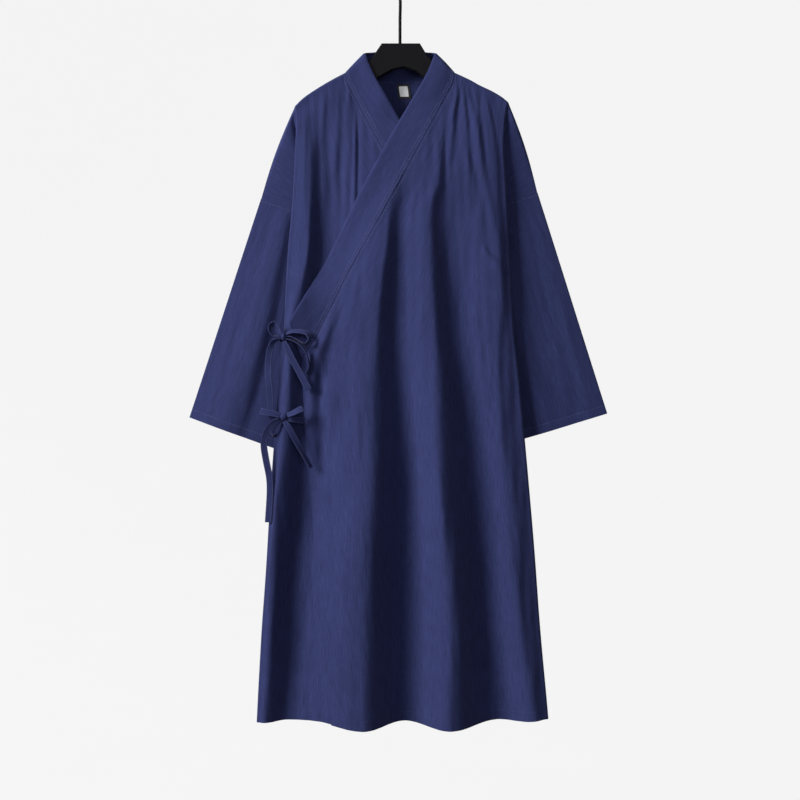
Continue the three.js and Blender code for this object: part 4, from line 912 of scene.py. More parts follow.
def front_surface(outer, strength):
    """A front as one grid: u across from the inner line to the side edge, then round and back; k down.
    Gives the part that shows, the part folded back at the side and the dropped shoulder end."""
    name = "outer" if outer else "under"
    side = SIDES["right"] if outer else SIDES["left"]
    sign = side["sign"]
    rows = np.linspace(0, LAST_ROW, LAST_ROW * FRONT_FINE + 1)
    k = rows[:, None]
    u = np.linspace(0, 1, FRONT_ACROSS + 1)[None, :]
    edge_z = edge_height(side, k)
    inner_x = inner_line(sign, front_seam(row_inner(k)))
    formed = front_edge[sign](edge_z) - sign * EDGE_ROUND * row_fold(k)
    edge_x = mix(sign * side["tip"][0], formed, smooth(k / EDGE_BLEND_ROWS))
    x = mix(inner_x, edge_x, u)
    z = mix(row_inner(k), edge_z, u) + shoulder_rise(side, np.abs(x)) * (1 - smooth(k / SETTLE_ROWS))
    z = z + (hem_line(x) - LOWEST) * blend(k, HEM_BLEND)
    form = front_form if outer else under_form
    lift = OUTER_LIFT if outer else UNDER_LIFT
    y = front_depth(x, z, form, side, lift)
    settled = blend(k, CREASE_START_ROWS) * smooth(u * INNER_SETTLE_RATE)
    creases = OUTER_CREASES if outer else UNDER_CREASES
    relief = cloth_relief(name, creases, x, z, strength)
    groove = groove_height(z - hem_line(x), HEM_STITCH_UP)
    y = y - settled * relief + groove
    main = points(x, y, z)
    nose = OUTER_NOSE if outer else UNDER_NOSE
    beyond = return_surface(side, rows, main[:, -1], nose, -1)
    top = rows <= UNDERARM_ROW
    drop = drop_surface(side, rows[top], beyond[top, -1], -1)
    return main, beyond, drop


def groove_height(up, at):
    """A shallow trough where a line of stitching draws the cloth in: depth exp(-((up - at) / width)^2)."""
    return GROOVE_DEPTH * np.exp(-(((up - at) / GROOVE_WIDTH) ** 2))


def back_top(side):
    """Top edge of one half of the back: along the band's seam, then along the shoulder seam."""
    neck = [NECK_MIDDLE] + [row[:3] for row in reversed(NECK)]
    x = np.array([row[0] for row in neck], float)
    share = np.linspace(0, 1, BACK_ACROSS // 2 + 1)
    shoulder_x = mix(NECK_SIDE_X, side["tip"][0], share[1:])
    neck_x = NECK_SIDE_X * np.sin(share * np.pi / 2)
    y_line = track([(row[0], row[1]) for row in neck])
    z_line = track([(row[0], row[2]) for row in neck])
    all_x = np.concatenate((neck_x, shoulder_x))
    y = np.where(all_x <= x[-1], y_line(all_x), SEAM_GAP / 2)
    z = np.where(all_x <= x[-1], z_line(all_x), shoulder_line(side)(all_x))
    return points(all_x, np.maximum(SEAM_GAP / 2, y), z)


def back_half(side, strength):
    """One half of the back as a grid: columns hang from the top edge and spread to the side edge."""
    sign = side["sign"]
    top = back_top(side)
    rows = np.linspace(0, LAST_ROW, LAST_ROW * BACK_FINE + 1)
    k = rows[:, None]
    start_x = top[None, :, 0]
    start_y = top[None, :, 1]
    start_z = top[None, :, 2]
    edge_z = edge_height(side, k)
    inset = BACK_EDGE_INSET * smooth(k / SETTLE_ROWS) + EDGE_ROUND * row_fold(k)
    edge_x = mix(side["tip"][0], np.abs(front_edge[sign](edge_z)) - inset, smooth(k / EDGE_BLEND_ROWS))
    outward = start_x / side["tip"][0]
    fall = mix(BACK_MIDDLE_Z[0] - row_middle(k), side["tip"][1] - edge_z, outward)
    full_fall = mix(BACK_MIDDLE_Z[0] - LOWEST, side["tip"][1] - LOWEST, outward)
    z = mix(start_z, BACK_HEM_Z, fall / full_fall)
    straight = start_x + outward * (edge_x - side["tip"][0])
    x = mix(straight, outward * edge_x, blend(k, BACK_SPREAD))
    reach = np.where(x >= NECK_SIDE_X, shoulder_line(side)(x), start_z)
    drop = np.maximum(0, reach - z)
    turn = NECK_TURN[0] + NECK_TURN[1] * smooth(drop / NECK_TURN_DROP)
    near = mix(start_y, over_hanger(drop), smooth((start_x - NECK_SIDE_X + turn) / turn))
    y = mix(near, back_form(sign * x, z), blend(drop, BACK_BLEND))
    settled = blend(k, CREASE_START_ROWS)
    relief = cloth_relief("back", BACK_CREASES, sign * x, z, strength)
    groove = groove_height(z - BACK_HEM_Z, HEM_STITCH_UP)
    y = y + settled * relief - groove
    main = points(sign * x, y, z)
    beyond = return_surface(side, rows, main[:, -1], BACK_NOSE, 1)
    upper = rows <= UNDERARM_ROW
    shoulder_end = drop_surface(side, rows[upper], beyond[upper, -1], 1)
    return main, beyond, shoulder_end


def sleeve_surface(name, strength):
    """A sleeve as a tube: t down from armhole to cuff, round through the front half and the back half.
    Across it s = (1 - cos(pi j / n)) / 2, and its half depth goes as sin(pi s)^roundness."""
    side = SIDES[name]
    t = np.linspace(0, 1, SLEEVE_RINGS)[:, None]
    half_steps = np.arange(SLEEVE_HALF_COLUMNS + 1)
    s_front = (1 - np.cos(np.pi * half_steps / SLEEVE_HALF_COLUMNS)) / 2
    s = np.concatenate((s_front, s_front[-2::-1]))[None, :]
    front = np.concatenate((np.ones(SLEEVE_HALF_COLUMNS + 1), np.zeros(SLEEVE_HALF_COLUMNS)))[None, :]
    outer_x = mix(side["arm_top"][0], side["cuff_top"][0], t)
    outer_z = mix(side["arm_top"][1], side["cuff_top"][1], t)
    width = mix(ARMHOLE_WIDTH - UNDERARM_EASE, CUFF_WIDTH, smooth(t))
    in_x = mix(side["arm_inward"][0], side["cuff_inward"][0], t)
    in_z = mix(side["arm_inward"][1], side["cuff_inward"][1], t)
    deepest = mix(ARMHOLE_HALF_DEPTH, CUFF_HALF_DEPTH, smooth(t * SLEEVE_OPENING_RATE))
    middle = mix(mix(ARMHOLE_START_Y, UNDERARM_Y, s), CUFF_Y, smooth(t))
    crest = np.exp(-(((s - side["crest"]) / SLEEVE_CREST_WIDTH) ** 2))
    trough = np.exp(-(((s - side["trough"]) / SLEEVE_TROUGH_WIDTH) ** 2))
    fold = SLEEVE_FOLD * smooth(t * SLEEVE_FOLD_RATE) * (crest - trough) * np.sin(np.pi * s)
    half = arm_half(s, deepest)
    held = smooth(t / SLEEVE_SETTLE_SHARE) * np.sqrt(np.sin(np.pi * s))
    relief = cloth_relief("sleeve", SLEEVE_CREASES[name], s, t, strength, SLEEVE_SIZE)
    relief = relief - groove_height(t * SLEEVE_SIZE[1], CUFF_STITCH_SHARE * SLEEVE_SIZE[1])
    behind = half + held * SLEEVE_BACK_RELIEF * relief
    y = middle + np.where(front > 0, -half - fold - held * relief, behind)
    x = side["sign"] * (outer_x + s * width * in_x)
    z = outer_z + s * width * in_z
    return points(x, y, z)


def resample(line, fine):
    """A centripetal Catmull-Rom curve through the points, with fine steps between neighbours."""
    line = np.asarray(line, float)
    before = 2 * line[0] - line[1]
    after = 2 * line[-1] - line[-2]
    full = np.vstack((before, line, after))
    t = np.linspace(0, 1, fine + 1)[:-1, None]
    result = []
    for i in range(1, len(full) - 2):
        p0, p1, p2, p3 = full[i - 1: i + 3]
        d0 = max(np.linalg.norm(p1 - p0), LEAST_GAP) ** 0.5
        d1 = max(np.linalg.norm(p2 - p1), LEAST_GAP) ** 0.5
        d2 = max(np.linalg.norm(p3 - p2), LEAST_GAP) ** 0.5
        m1 = ((p1 - p0) / d0 - (p2 - p0) / (d0 + d1) + (p2 - p1) / d1) * d1
        m2 = ((p2 - p1) / d1 - (p3 - p1) / (d1 + d2) + (p3 - p2) / d2) * d1
        c2 = -3 * p1 + 3 * p2 - 2 * m1 - m2
        c3 = 2 * p1 - 2 * p2 + m1 + m2
        result.append(p1 + m1 * t + c2 * t ** 2 + c3 * t ** 3)
    result.append(line[-1:])
    return np.vstack(result)


def band_surface(outer_main, under_main):
    """The collar band between two lines, its seam and its free edge: along the outer front's seam, round
    the neck and down the under front's seam. Across it w runs from 0 to 1, with a bulge that goes as
    (4 w (1 - w))^power, soft folds that go as smooth(w rate) sin(pi place along)^2 and a bell across, and
    the free edge rolled back as ((w - w0) / (1 - w0))^2."""
    seam = []
    edge = []
    away = []

    def add_front(main, sign, form, lift, k):
        """The band's points at a row of a front."""
        row = k * FRONT_FINE
        edge_z = BAND_EDGE_Z[k]
        edge_x = float(inner_line(sign, band_edge(edge_z)))
        if k < len(BAND_EDGE_Y):
            y = BAND_EDGE_Y[k]
        else:
            y = float(form(np.array(edge_x), np.array(float(edge_z)))) + lift
        seam.append(main[row, 0])
        away.append(unit(main[row, BAND_AWAY_COLUMN] - main[row, 0]))
        edge.append((edge_x, y, edge_z))

    def add_neck(row, sign):
        """The band's points at a row of the neck."""
        seam.append((sign * row[0], row[1], row[2]))
        away.append((0, 0, -1))
        edge.append((sign * row[3], row[4], row[5]))

    for k in range(BAND_END_ROW, 0, -1):
        add_front(outer_main, 1, front_form, OUTER_LIFT, k)
    for row in NECK:
        add_neck(row, 1)
    add_neck(NECK_MIDDLE + BAND_MIDDLE, 1)
    for row in reversed(NECK):
        add_neck(row, -1)
    for k in range(1, BAND_END_ROW + 1):
        add_front(under_main, -1, under_form, UNDER_LIFT, k)
    seam = np.array(seam, float)
    edge = np.array(edge, float)
    across = unit(unit(edge - seam) - np.array(away, float))
    index = np.arange(len(seam))
    from_end = np.minimum(index, index[::-1])
    gap = np.where(np.abs(from_end - BAND_END_ROW) <= 1, NECK_CORNER_GAP, BAND_GAP)
    seam = resample(seam + across * gap[:, None], BAND_FINE)
    edge = resample(edge, BAND_FINE)
    along = unit(np.gradient(seam, axis=0))
    normal = unit(np.cross(unit(edge - seam), along))
    inner_places = np.linspace(0, BAND_INNER_REACH, BAND_ACROSS)
    w = np.concatenate((inner_places, BAND_EDGE_PLACES))[None, :, None]
    height = BAND_BULGE * (4 * w * (1 - w)) ** BAND_BULGE_POWER
    along_share = np.linspace(0, 1, len(seam))[:, None, None]
    for start, end, place, width, fold in BAND_FOLDS:
        inside = np.clip((along_share - start) / (end - start), 0, 1)
        held = smooth(w * BAND_FOLD_RATE) * np.sin(np.pi * inside) ** 2
        height = height + fold * held * np.exp(-(((w - place) / width) ** 2))
    height = height - BAND_ROLL * np.clip((w - BAND_ROLL_START) / (1 - BAND_ROLL_START), 0, 1) ** 2
    return mix(seam[:, None, :], edge[:, None, :], w) - height * normal[:, None, :]


def strand_surface(knot, rows):
    """A tie's strand: a smooth path through its rows, and across it a strip with a slight crown."""
    table = [row + (None,) * (6 - len(row)) for row in rows]
    centre = np.array([(knot[0] + r[0], knot[1] - r[2], knot[2] + r[1]) for r in table], float)
    path = resample(centre, STRAND_FINE)
    place = np.arange(len(path)) / STRAND_FINE
    share = np.interp(place, range(len(table)), [r[3] for r in table])
    turn = np.radians(np.interp(place, range(len(table)), [r[4] for r in table]))
    along = unit(np.gradient(path, axis=0))
    if table[0][5] is None:
        flat = unit(points(-along[:, 2], 0, along[:, 0]))
    else:
        tilt = np.radians(np.interp(place, range(len(table)), [r[5] for r in table]))
        flat = points(np.cos(tilt), 0, np.sin(tilt))
    across = flat * np.cos(turn)[:, None] + FROM_VIEWER * np.sin(turn)[:, None]
    w = np.linspace(-1, 1, STRAND_ACROSS + 1)[None, :, None]
    normal = unit(np.cross(along, across))
    half = (TIE_WIDTH * share / 2)[:, None, None]
    ridge = np.exp(-(((np.abs(w) - TIE_RIDGE_PLACE) / TIE_RIDGE_WIDTH) ** 2))
    crown = TIE_CROWN * (1 - w * w) + TIE_RIDGE * ridge
    return path[:, None, :] + half * w * across[:, None, :] + crown * normal[:, None, :]


def knot_surface(knot):
    """A pulled knot: an ellipsoid with one wrap that stands proud across its middle and two folds."""
    x, y, z, half_x, half_y, half_z = knot
    a = np.linspace(0, 2 * np.pi, KNOT_COLUMNS + 1)[None, :]
    b = np.linspace(-np.pi / 2, np.pi / 2, KNOT_ROWS + 1)[:, None]
    lean = KNOT_WRAP_TURNS * b + KNOT_WRAP_LEAN * np.cos(a)
    wrap = 1 + KNOT_WRAP * np.cos(b) ** 2 * np.cos(lean) - KNOT_FOLD * np.sin(2 * a) ** 2
    side = np.sign(np.cos(a)) * np.abs(np.cos(a)) ** KNOT_SQUARENESS
    px = x + half_x * wrap * np.cos(b) * side
    py = y + half_y * wrap * np.cos(b) * np.sin(a)
    pz = z + half_z * (1 - KNOT_END_SHARE + KNOT_END_SHARE * wrap) * np.sin(b)
    return points(px, py, pz)


def grid_mesh(name, grids, material, wall=0.0):
    """One object from grids of points in millimetres, welded where they touch. Its UV map holds the mean
    distance across and down each grid in metres, so that the weave runs with the cloth."""
    verts = []
    faces = []
    uvs = []
    first = 0
    for grid in grids:
        rows, columns = grid.shape[:2]
        index = first + np.arange(rows * columns).reshape(rows, columns)
        quads = np.stack((index[:-1, :-1], index[1:, :-1], index[1:, 1:], index[:-1, 1:]), axis=-1)
        faces.append(quads.reshape(-1, 4))
        verts.append(grid.reshape(-1, 3))
        step_u = np.linalg.norm(np.diff(grid, axis=1), axis=2).mean(axis=0)
        step_v = np.linalg.norm(np.diff(grid, axis=0), axis=2).mean(axis=1)
        u = np.concatenate(([0], np.cumsum(step_u))) * MM
        v = np.concatenate(([0], np.cumsum(step_v))) * MM
        uvs.append(np.stack(np.broadcast_arrays(u[None, :], v[:, None]), axis=-1).reshape(-1, 2))
        first += rows * columns
    verts = np.vstack(verts) * MM
    faces = np.vstack(faces)
    uvs = np.vstack(uvs)
    mesh = bpy.data.meshes.new(name)
    mesh.from_pydata(verts.tolist(), [], faces.tolist())
    layer = mesh.uv_layers.new(name="weave")
    layer.data.foreach_set("uv", uvs[faces.reshape(-1)].reshape(-1))
    turn_outward(mesh, WELD * MM)
    if wall > 0:
        mesh = walled(mesh, name, wall)
    return placed(name, mesh, material, SHARP_ANGLE)


def turn_outward(mesh, weld=0.0):
    """Welds points nearer than the weld distance, if one is given, and turns all faces outward."""
    work = bmesh.new()
    work.from_mesh(mesh)
    if weld > 0:
        bmesh.ops.remove_doubles(work, verts=work.verts, dist=weld)
    bmesh.ops.recalc_face_normals(work, faces=work.faces)
    work.to_mesh(mesh)
    work.free()


def placed(name, mesh, material, sharp_angle=None):
    """A smooth object of the mesh that rides the root, with sharp edges past the angle in degrees."""
    mesh.polygons.foreach_set("use_smooth", [True] * len(mesh.polygons))
    if sharp_angle is not None:
        mesh.set_sharp_from_angle(angle=math.radians(sharp_angle))
    mesh.materials.append(material)
    piece = bpy.data.objects.new(name, mesh)
    bpy.context.scene.collection.objects.link(piece)
    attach(piece, "root")
    return piece


def walled(mesh, name, wall):
    """A closed shell of the mesh: p + n w / 2 on one side, p - n w / 2 on the other, n the normal, and a
    strip of quads along every open edge. Each new corner keeps the weave coordinates of its old one."""
    count = len(mesh.vertices)
    place = np.empty(count * 3)
    mesh.vertices.foreach_get("co", place)
    normal = np.empty(count * 3)
    mesh.vertex_normals.foreach_get("vector", normal)
    offset = normal.reshape(-1, 3) * wall * MM / 2
    place = place.reshape(-1, 3)
    corner = np.empty(len(mesh.loops), int)
    mesh.loops.foreach_get("vertex_index", corner)
    weave = np.empty(len(mesh.loops) * 2)
    mesh.uv_layers["weave"].data.foreach_get("uv", weave)
    weave = weave.reshape(-1, 2)
    start = np.empty(len(mesh.polygons), int)
    mesh.polygons.foreach_get("loop_start", start)
    total = np.empty(len(mesh.polygons), int)
    mesh.polygons.foreach_get("loop_total", total)
    following = np.arange(len(corner)) + 1
    following[start + total - 1] = start
    here = corner
    there = corner[following]
    used = here.astype(np.int64) * count + there
    open_edge = ~np.isin(there.astype(np.int64) * count + here, used)
    faces = []
    order = []
    for first, size in zip(start.tolist(), total.tolist()):
        loop = list(range(first, first + size))
        faces.append(corner[loop].tolist())
        order.extend(loop)
        faces.append((corner[loop[::-1]] + count).tolist())
        order.extend(loop[::-1])
    for at in np.flatnonzero(open_edge).tolist():
        a = int(here[at])
        b = int(there[at])
        faces.append([b, a, a + count, b + count])
        order.extend([int(following[at]), at, at, int(following[at])])
    shell = bpy.data.meshes.new(name)
    shell.from_pydata(np.vstack((place + offset, place - offset)).tolist(), [], faces)
    layer = shell.uv_layers.new(name="weave")
    layer.data.foreach_set("uv", weave[order].reshape(-1))
    return shell


def cloth_piece(node, grids, wall, flat=None):
    """A sheet of the dress's cloth that stands for one CAD node."""
    area = None
    if flat is None:
        flat, area = SHEETS[node]
    piece = grid_mesh(f"{node}_cloth", grids, cloth_material(bpy.context.scene.wrap_dress), wall)
    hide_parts(node)
    return piece


def new_material(name):
    """A node material with its node tree and Principled shader; of one already made, only itself."""
    material = bpy.data.materials.get(name)
    if material is not None:
        return material, None, None
    material = bpy.data.materials.new(name)
    material.use_nodes = True
    tree = material.node_tree
    return material, tree, tree.nodes["Principled BSDF"]


def scaled(tree, coordinate, scale):
    """Coordinates in metres multiplied by a scale on each axis."""
    mapping = tree.nodes.new("ShaderNodeMapping")
    mapping.inputs["Scale"].default_value = scale
    tree.links.new(coordinate, mapping.inputs["Vector"])
    return mapping.outputs["Vector"]


def noise(tree, vector, detail, roughness):
    """Fractal noise at a vector that is already scaled."""
    node = tree.nodes.new("ShaderNodeTexNoise")
    node.inputs["Scale"].default_value = 1.0
    node.inputs["Detail"].default_value = detail
    node.inputs["Roughness"].default_value = roughness
    tree.links.new(vector, node.inputs["Vector"])
    return node.outputs["Fac"]


def math_node(tree, operation, first, second):
    """A Math node whose inputs are sockets or plain numbers."""
    node = tree.nodes.new("ShaderNodeMath")
    node.operation = operation
    for slot, value in zip(node.inputs, (first, second)):
        if isinstance(value, (int, float)):
            slot.default_value = value
        else:
            tree.links.new(value, slot)
    return node.outputs["Value"]


def weighted(tree, values):
    """The sum of each value times its share, for the shares that aren't 0."""
    total = None
    for value, share in values:
        if share == 0:
            continue
        part = math_node(tree, "MULTIPLY", value, share)
        total = part if total is None else math_node(tree, "ADD", total, part)
    return total


def link_colour(tree, shader, value, ends, dark, light):
    """Base colour: dark up to the first end of the value, light from the second, even between."""
    ramp = tree.nodes.new("ShaderNodeValToRGB")
    for element, end, colour in zip(ramp.color_ramp.elements, ends, (dark, light)):
        element.position = end
        element.color = tuple(colour) + (1.0,)
    tree.links.new(value, ramp.inputs["Fac"])
    tree.links.new(ramp.outputs["Color"], shader.inputs["Base Color"])


def link_relief(tree, shader, height, strength, distance):
    """Tilts the shading as a relief of the height would."""
    bump = tree.nodes.new("ShaderNodeBump")
    bump.inputs["Strength"].default_value = strength
    bump.inputs["Distance"].default_value = distance
    tree.links.new(height, bump.inputs["Height"])
    tree.links.new(bump.outputs["Normal"], shader.inputs["Normal"])


def cloth_material(settings):
    """Slubby cotton and linen: long uneven threads down, finer ones across, faint clouding of the dye."""
    material, tree, shader = new_material("navy_slub_cloth")
    if tree is None:
        return material
    grain = {}
    for name, (scale, detail, roughness, _, _) in THREADS.items():
        coordinate = tree.nodes.new("ShaderNodeUVMap")
        coordinate.uv_map = "weave"
        grain[name] = noise(tree, scaled(tree, coordinate.outputs["UV"], scale), detail, roughness)
    tone = weighted(tree, [(grain[name], thread[3]) for name, thread in THREADS.items()])
    height = weighted(tree, [(grain[name], thread[4]) for name, thread in THREADS.items()])
    link_colour(tree, shader, tone, DYE_RANGE, settings.cloth_dark, settings.cloth_light)
    link_relief(tree, shader, height, *CLOTH_BUMP)
    least, spread = CLOTH_ROUGHNESS
    rough = math_node(tree, "ADD", least, math_node(tree, "MULTIPLY", grain["slub"], spread))
    tree.links.new(rough, shader.inputs["Roughness"])
    shader.inputs["Specular IOR Level"].default_value = CLOTH_SPECULAR
    shader.inputs["Sheen Weight"].default_value = CLOTH_SHEEN[0]
    shader.inputs["Sheen Roughness"].default_value = CLOTH_SHEEN[1]
    return material


def simple_material(name):
    """One of the plain finishes, with a fine grain from Object coordinates in colour and in relief."""
    dark, light, scale, roughness, bump_height, specular = FINISHES[name]
    material, tree, shader = new_material(name)
    if tree is None:
        return material
    coordinate = tree.nodes.new("ShaderNodeTexCoord")
    vector = scaled(tree, coordinate.outputs["Object"], scale)
    grain = noise(tree, vector, GRAIN_DETAIL, GRAIN_ROUGHNESS)
    link_colour(tree, shader, grain, GRAIN_RANGE, dark, light)
    link_relief(tree, shader, grain, GRAIN_BUMP, bump_height)
    shader.inputs["Roughness"].default_value = roughness
    shader.inputs["Specular IOR Level"].default_value = specular
    return material


def stitch_rows(lines, pitch):
    """Stitches along polylines of (points, outward normals): each a six-sided bead, pointed at its ends,
    of the stitch length, one every pitch."""
    verts = []
    faces = []
    first = 0
    turn = np.linspace(0, 2 * np.pi, STITCH_SIDES + 1)[:-1]
    rings = len(STITCH_RING_PLACES)
    corners = rings * STITCH_SIDES
    ring_at = np.array(STITCH_RING_PLACES) * STITCH_LENGTH
    ring_size = np.array(STITCH_RING_SIZES) * STITCH_RADIUS
    for line, normals in lines:
        gaps = np.linalg.norm(np.diff(line, axis=0), axis=1)
        run = np.concatenate(([0], np.cumsum(gaps)))
        centres = np.arange(pitch, run[-1] - pitch, pitch)
        at = centres[:, None] + ring_at[None, :]
        place = np.stack([np.interp(at, run, line[:, i]) for i in range(3)], axis=-1)
        up = unit(np.stack([np.interp(at, run, normals[:, i]) for i in range(3)], axis=-1))
        along = unit(place[:, -1:] - place[:, :1])
        across = unit(np.cross(along, up))
        size = ring_size[None, :, None, None]
        ring = np.cos(turn)[None, None, :, None] * across[:, :, None, :]
        ring = ring + STITCH_FLATNESS * np.sin(turn)[None, None, :, None] * up[:, :, None, :]
        body = place[:, :, None, :] + size * ring
        verts.append(body.reshape(-1, 3))
        count = len(centres)
        base = first + np.arange(count)[:, None, None] * corners
        level = base + np.arange(rings - 1)[None, :, None] * STITCH_SIDES
        upper = level + STITCH_SIDES
        step = np.arange(STITCH_SIDES)[None, None, :]
        following = (step + 1) % STITCH_SIDES
        quads = np.stack((level + step, level + following, upper + following, upper + step), axis=-1)
        faces.extend(quads.reshape(-1, 4).tolist())
        ends = (first + np.arange(count) * corners)[:, None]
        faces.extend((ends + np.arange(STITCH_SIDES)[None, ::-1]).tolist())
        faces.extend((ends + corners - STITCH_SIDES + np.arange(STITCH_SIDES)[None, :]).tolist())
        first += count * corners
    return np.vstack(verts), faces


def grid_normals(surface):
    """Unit normals of a grid: its gradient across it, crossed with its gradient down it."""
    return unit(np.cross(np.gradient(surface, axis=1), np.gradient(surface, axis=0)))


def surface_line(surface, row=None, column=None):
    """A line on a grid and its normals: along a row, or down a column place that may lie between two."""
    normal = grid_normals(surface)
    if row is not None:
        return surface[row], normal[row]
    low = int(column)
    share = column - low
    high = min(low + 1, surface.shape[1] - 1)
    return mix(surface[:, low], surface[:, high], share), mix(normal[:, low], normal[:, high], share)


def raised(line, normals, towards, height):
    """Moves a line off its surface on the side that faces towards, and gives the normals that side too."""
    side = np.where((normals * towards).sum(axis=1, keepdims=True) < 0, -1.0, 1.0)
    return line + normals * side * height, normals * side


def inset_line(surface, distance):
    """A line on a front at a distance in millimetres from its inner line, row by row."""
    gaps = np.linalg.norm(np.diff(surface, axis=1), axis=2)
    run = np.concatenate((np.zeros((len(surface), 1)), np.cumsum(gaps, axis=1)), axis=1)
    normal = grid_normals(surface)
    line = []
    normals = []
    for i in range(len(surface)):
        line.append([np.interp(distance, run[i], surface[i, :, axis]) for axis in range(3)])
        normals.append([np.interp(distance, run[i], normal[i, :, axis]) for axis in range(3)])
    return np.array(line), unit(np.array(normals))


def even_line(line, normals, fine):
    """Drops rows that crowd together, so that stitches run evenly."""
    keep = [0]
    for i in range(1, len(line)):
        if np.linalg.norm(line[i] - line[keep[-1]]) > fine:
            keep.append(i)
    return line[keep], normals[keep]


class WrapDressSettings(bpy.types.PropertyGroup):
    """Sizes and colours that the dress is built from."""

    crease_strength: bpy.props.FloatProperty(
        name="Crease strength", description="Height of the fine creases", default=1.3, min=0.0, max=2.0,
    )
    cloth_dark: bpy.props.FloatVectorProperty(
        name="Cloth, dark threads", description="Colour of the darker threads", subtype="COLOR", size=3,
        default=(0.0143, 0.0188, 0.0760), min=0.0, max=1.0,
    )
    cloth_light: bpy.props.FloatVectorProperty(
        name="Cloth, light threads", description="Colour of the lighter threads", subtype="COLOR", size=3,
        default=(0.0350, 0.0450, 0.1530), min=0.0, max=1.0,
    )
    stitch_pitch: bpy.props.FloatProperty(
        name="Stitch pitch", description="Distance from stitch to stitch in millimetres",
        default=STITCH_PITCH, min=1.5, max=8.0,
    )
    key_power: bpy.props.FloatProperty(
        name="Key light", description="Power of the window-like light from the upper left",
        default=372.0, min=0.0, unit="POWER",
    )
    fill_strength: bpy.props.FloatProperty(
        name="Fill light", description="Even light from all sides", default=0.12, min=0.0, max=3.0,
    )


# The grids of the pieces built so far, by name
SURFACES = {}


def panel_surfaces(strength):
    """The grids, with those of the two fronts and the band between them made at the first call."""
    if "outer" not in SURFACES:
        SURFACES["outer"] = front_surface(True, strength)
        SURFACES["under"] = front_surface(False, strength)
        SURFACES["band"] = band_surface(SURFACES["outer"][0], SURFACES["under"][0])
    return SURFACES


class WRAP_OT_fronts(bpy.types.Operator):
    """Build the outer and the under front"""

    bl_idname = "wrap_dress.fronts"
    bl_label = "Build Fronts"

    def execute(self, context):
        strength = context.scene.wrap_dress.crease_strength
        surfaces = panel_surfaces(strength)
        for name in ("outer", "under"):
            main, beyond, drop = surfaces[name]
            body = np.concatenate((main, beyond), axis=1)
            cloth_piece(f"{name}_front", [body, drop], CLOTH_WALL)
        return {"FINISHED"}


class WRAP_OT_back(bpy.types.Operator):
    """Build the back"""

    bl_idname = "wrap_dress.back"
    bl_label = "Build Back"

    def execute(self, context):
        strength = context.scene.wrap_dress.crease_strength
        left = back_half(SIDES["left"], strength)
        right = back_half(SIDES["right"], strength)
        left_body = np.concatenate((left[0], left[1]), axis=1)[:, ::-1]
        right_body = np.concatenate((right[0], right[1]), axis=1)
        body = np.concatenate((left_body, right_body[:, 1:]), axis=1)
        SURFACES["back"] = np.concatenate((left[0][:, ::-1], right[0][:, 1:]), axis=1)
        cloth_piece("back", [body, left[2], right[2]], CLOTH_WALL)
        return {"FINISHED"}


class WRAP_OT_band(bpy.types.Operator):
    """Build the collar band"""

    bl_idname = "wrap_dress.band"
    bl_label = "Build Collar Band"

    def execute(self, context):
        band = panel_surfaces(context.scene.wrap_dress.crease_strength)["band"]
        cloth_piece("collar_band", [band], BAND_WALL)
        return {"FINISHED"}


class WRAP_OT_sleeves(bpy.types.Operator):
    """Build both sleeves"""

    bl_idname = "wrap_dress.sleeves"
    bl_label = "Build Sleeves"

    def execute(self, context):
        strength = context.scene.wrap_dress.crease_strength
        for name, front in (("left", "under_front_cloth"), ("right", "outer_front_cloth")):
            tube = sleeve_surface(name, strength)
            SURFACES[f"sleeve_{name}"] = tube
            cloth_piece(f"sleeve_{name}", [tube], CLOTH_WALL)
        return {"FINISHED"}


class WRAP_OT_bows(bpy.types.Operator):
    """Build both bows: their knots, loops, tails and leads"""

    bl_idname = "wrap_dress.bows"
    bl_label = "Build Bows"

    def execute(self, context):
        settings = context.scene.wrap_dress
        for name, bow in BOWS.items():
            for strand, rows in bow["strands"].items():
                grid = strand_surface(bow["knot"], rows)
                SURFACES[f"tie_{name}_{strand}"] = grid
                length = np.linalg.norm(np.diff(grid[:, STRAND_ACROSS // 2], axis=0), axis=1).sum() * MM
                width = np.linalg.norm(np.diff(grid, axis=1), axis=2).sum(axis=1).mean() * MM
                flat = (max(width, TIE_LEAST_WIDTH), length)
                cloth_piece(f"{name}_{strand}", [grid], TIE_WALL, flat)
            knot = grid_mesh(f"{name}_knot_cloth", [knot_surface(bow["knot"])], cloth_material(settings))
            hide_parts(f"{name}_knot")
        return {"FINISHED"}


class WRAP_OT_label(bpy.types.Operator):
    """Build the blank label inside the neck"""

    bl_idname = "wrap_dress.label"
    bl_label = "Build Neck Label"

    def execute(self, context):
        for name, patch, material, slot in (
            ("neck_label", LABEL, "label_satin", "label"),
            ("label_tab", LABEL_TAB, "tab_cotton", "tab"),
        ):
            left, right, top, bottom, away = patch
            x = np.linspace(left, right, LABEL_COLUMNS + 1)[None, :]
            z = np.linspace(top, bottom, LABEL_ROWS + 1)[:, None]
            carrier = mix(neck_depth(np.abs(x)), back_form(x, z), blend(NECK_MIDDLE[2] - z, BACK_BLEND))
            wave = np.cos((x - left) / (right - left) * 2 * np.pi)
            curl = LABEL_CURL * wave * smooth((top - z) / LABEL_CURL_REACH)
            lean = math.tan(math.radians(LABEL_TILT)) * (LABEL[2] - z)
            grid = points(x + lean, carrier - CLOTH_WALL / 2 - away - LABEL_WALL - curl, z)
            piece = grid_mesh(f"{name}_cloth", [grid], simple_material(material), LABEL_WALL)
            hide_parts(name)
        return {"FINISHED"}


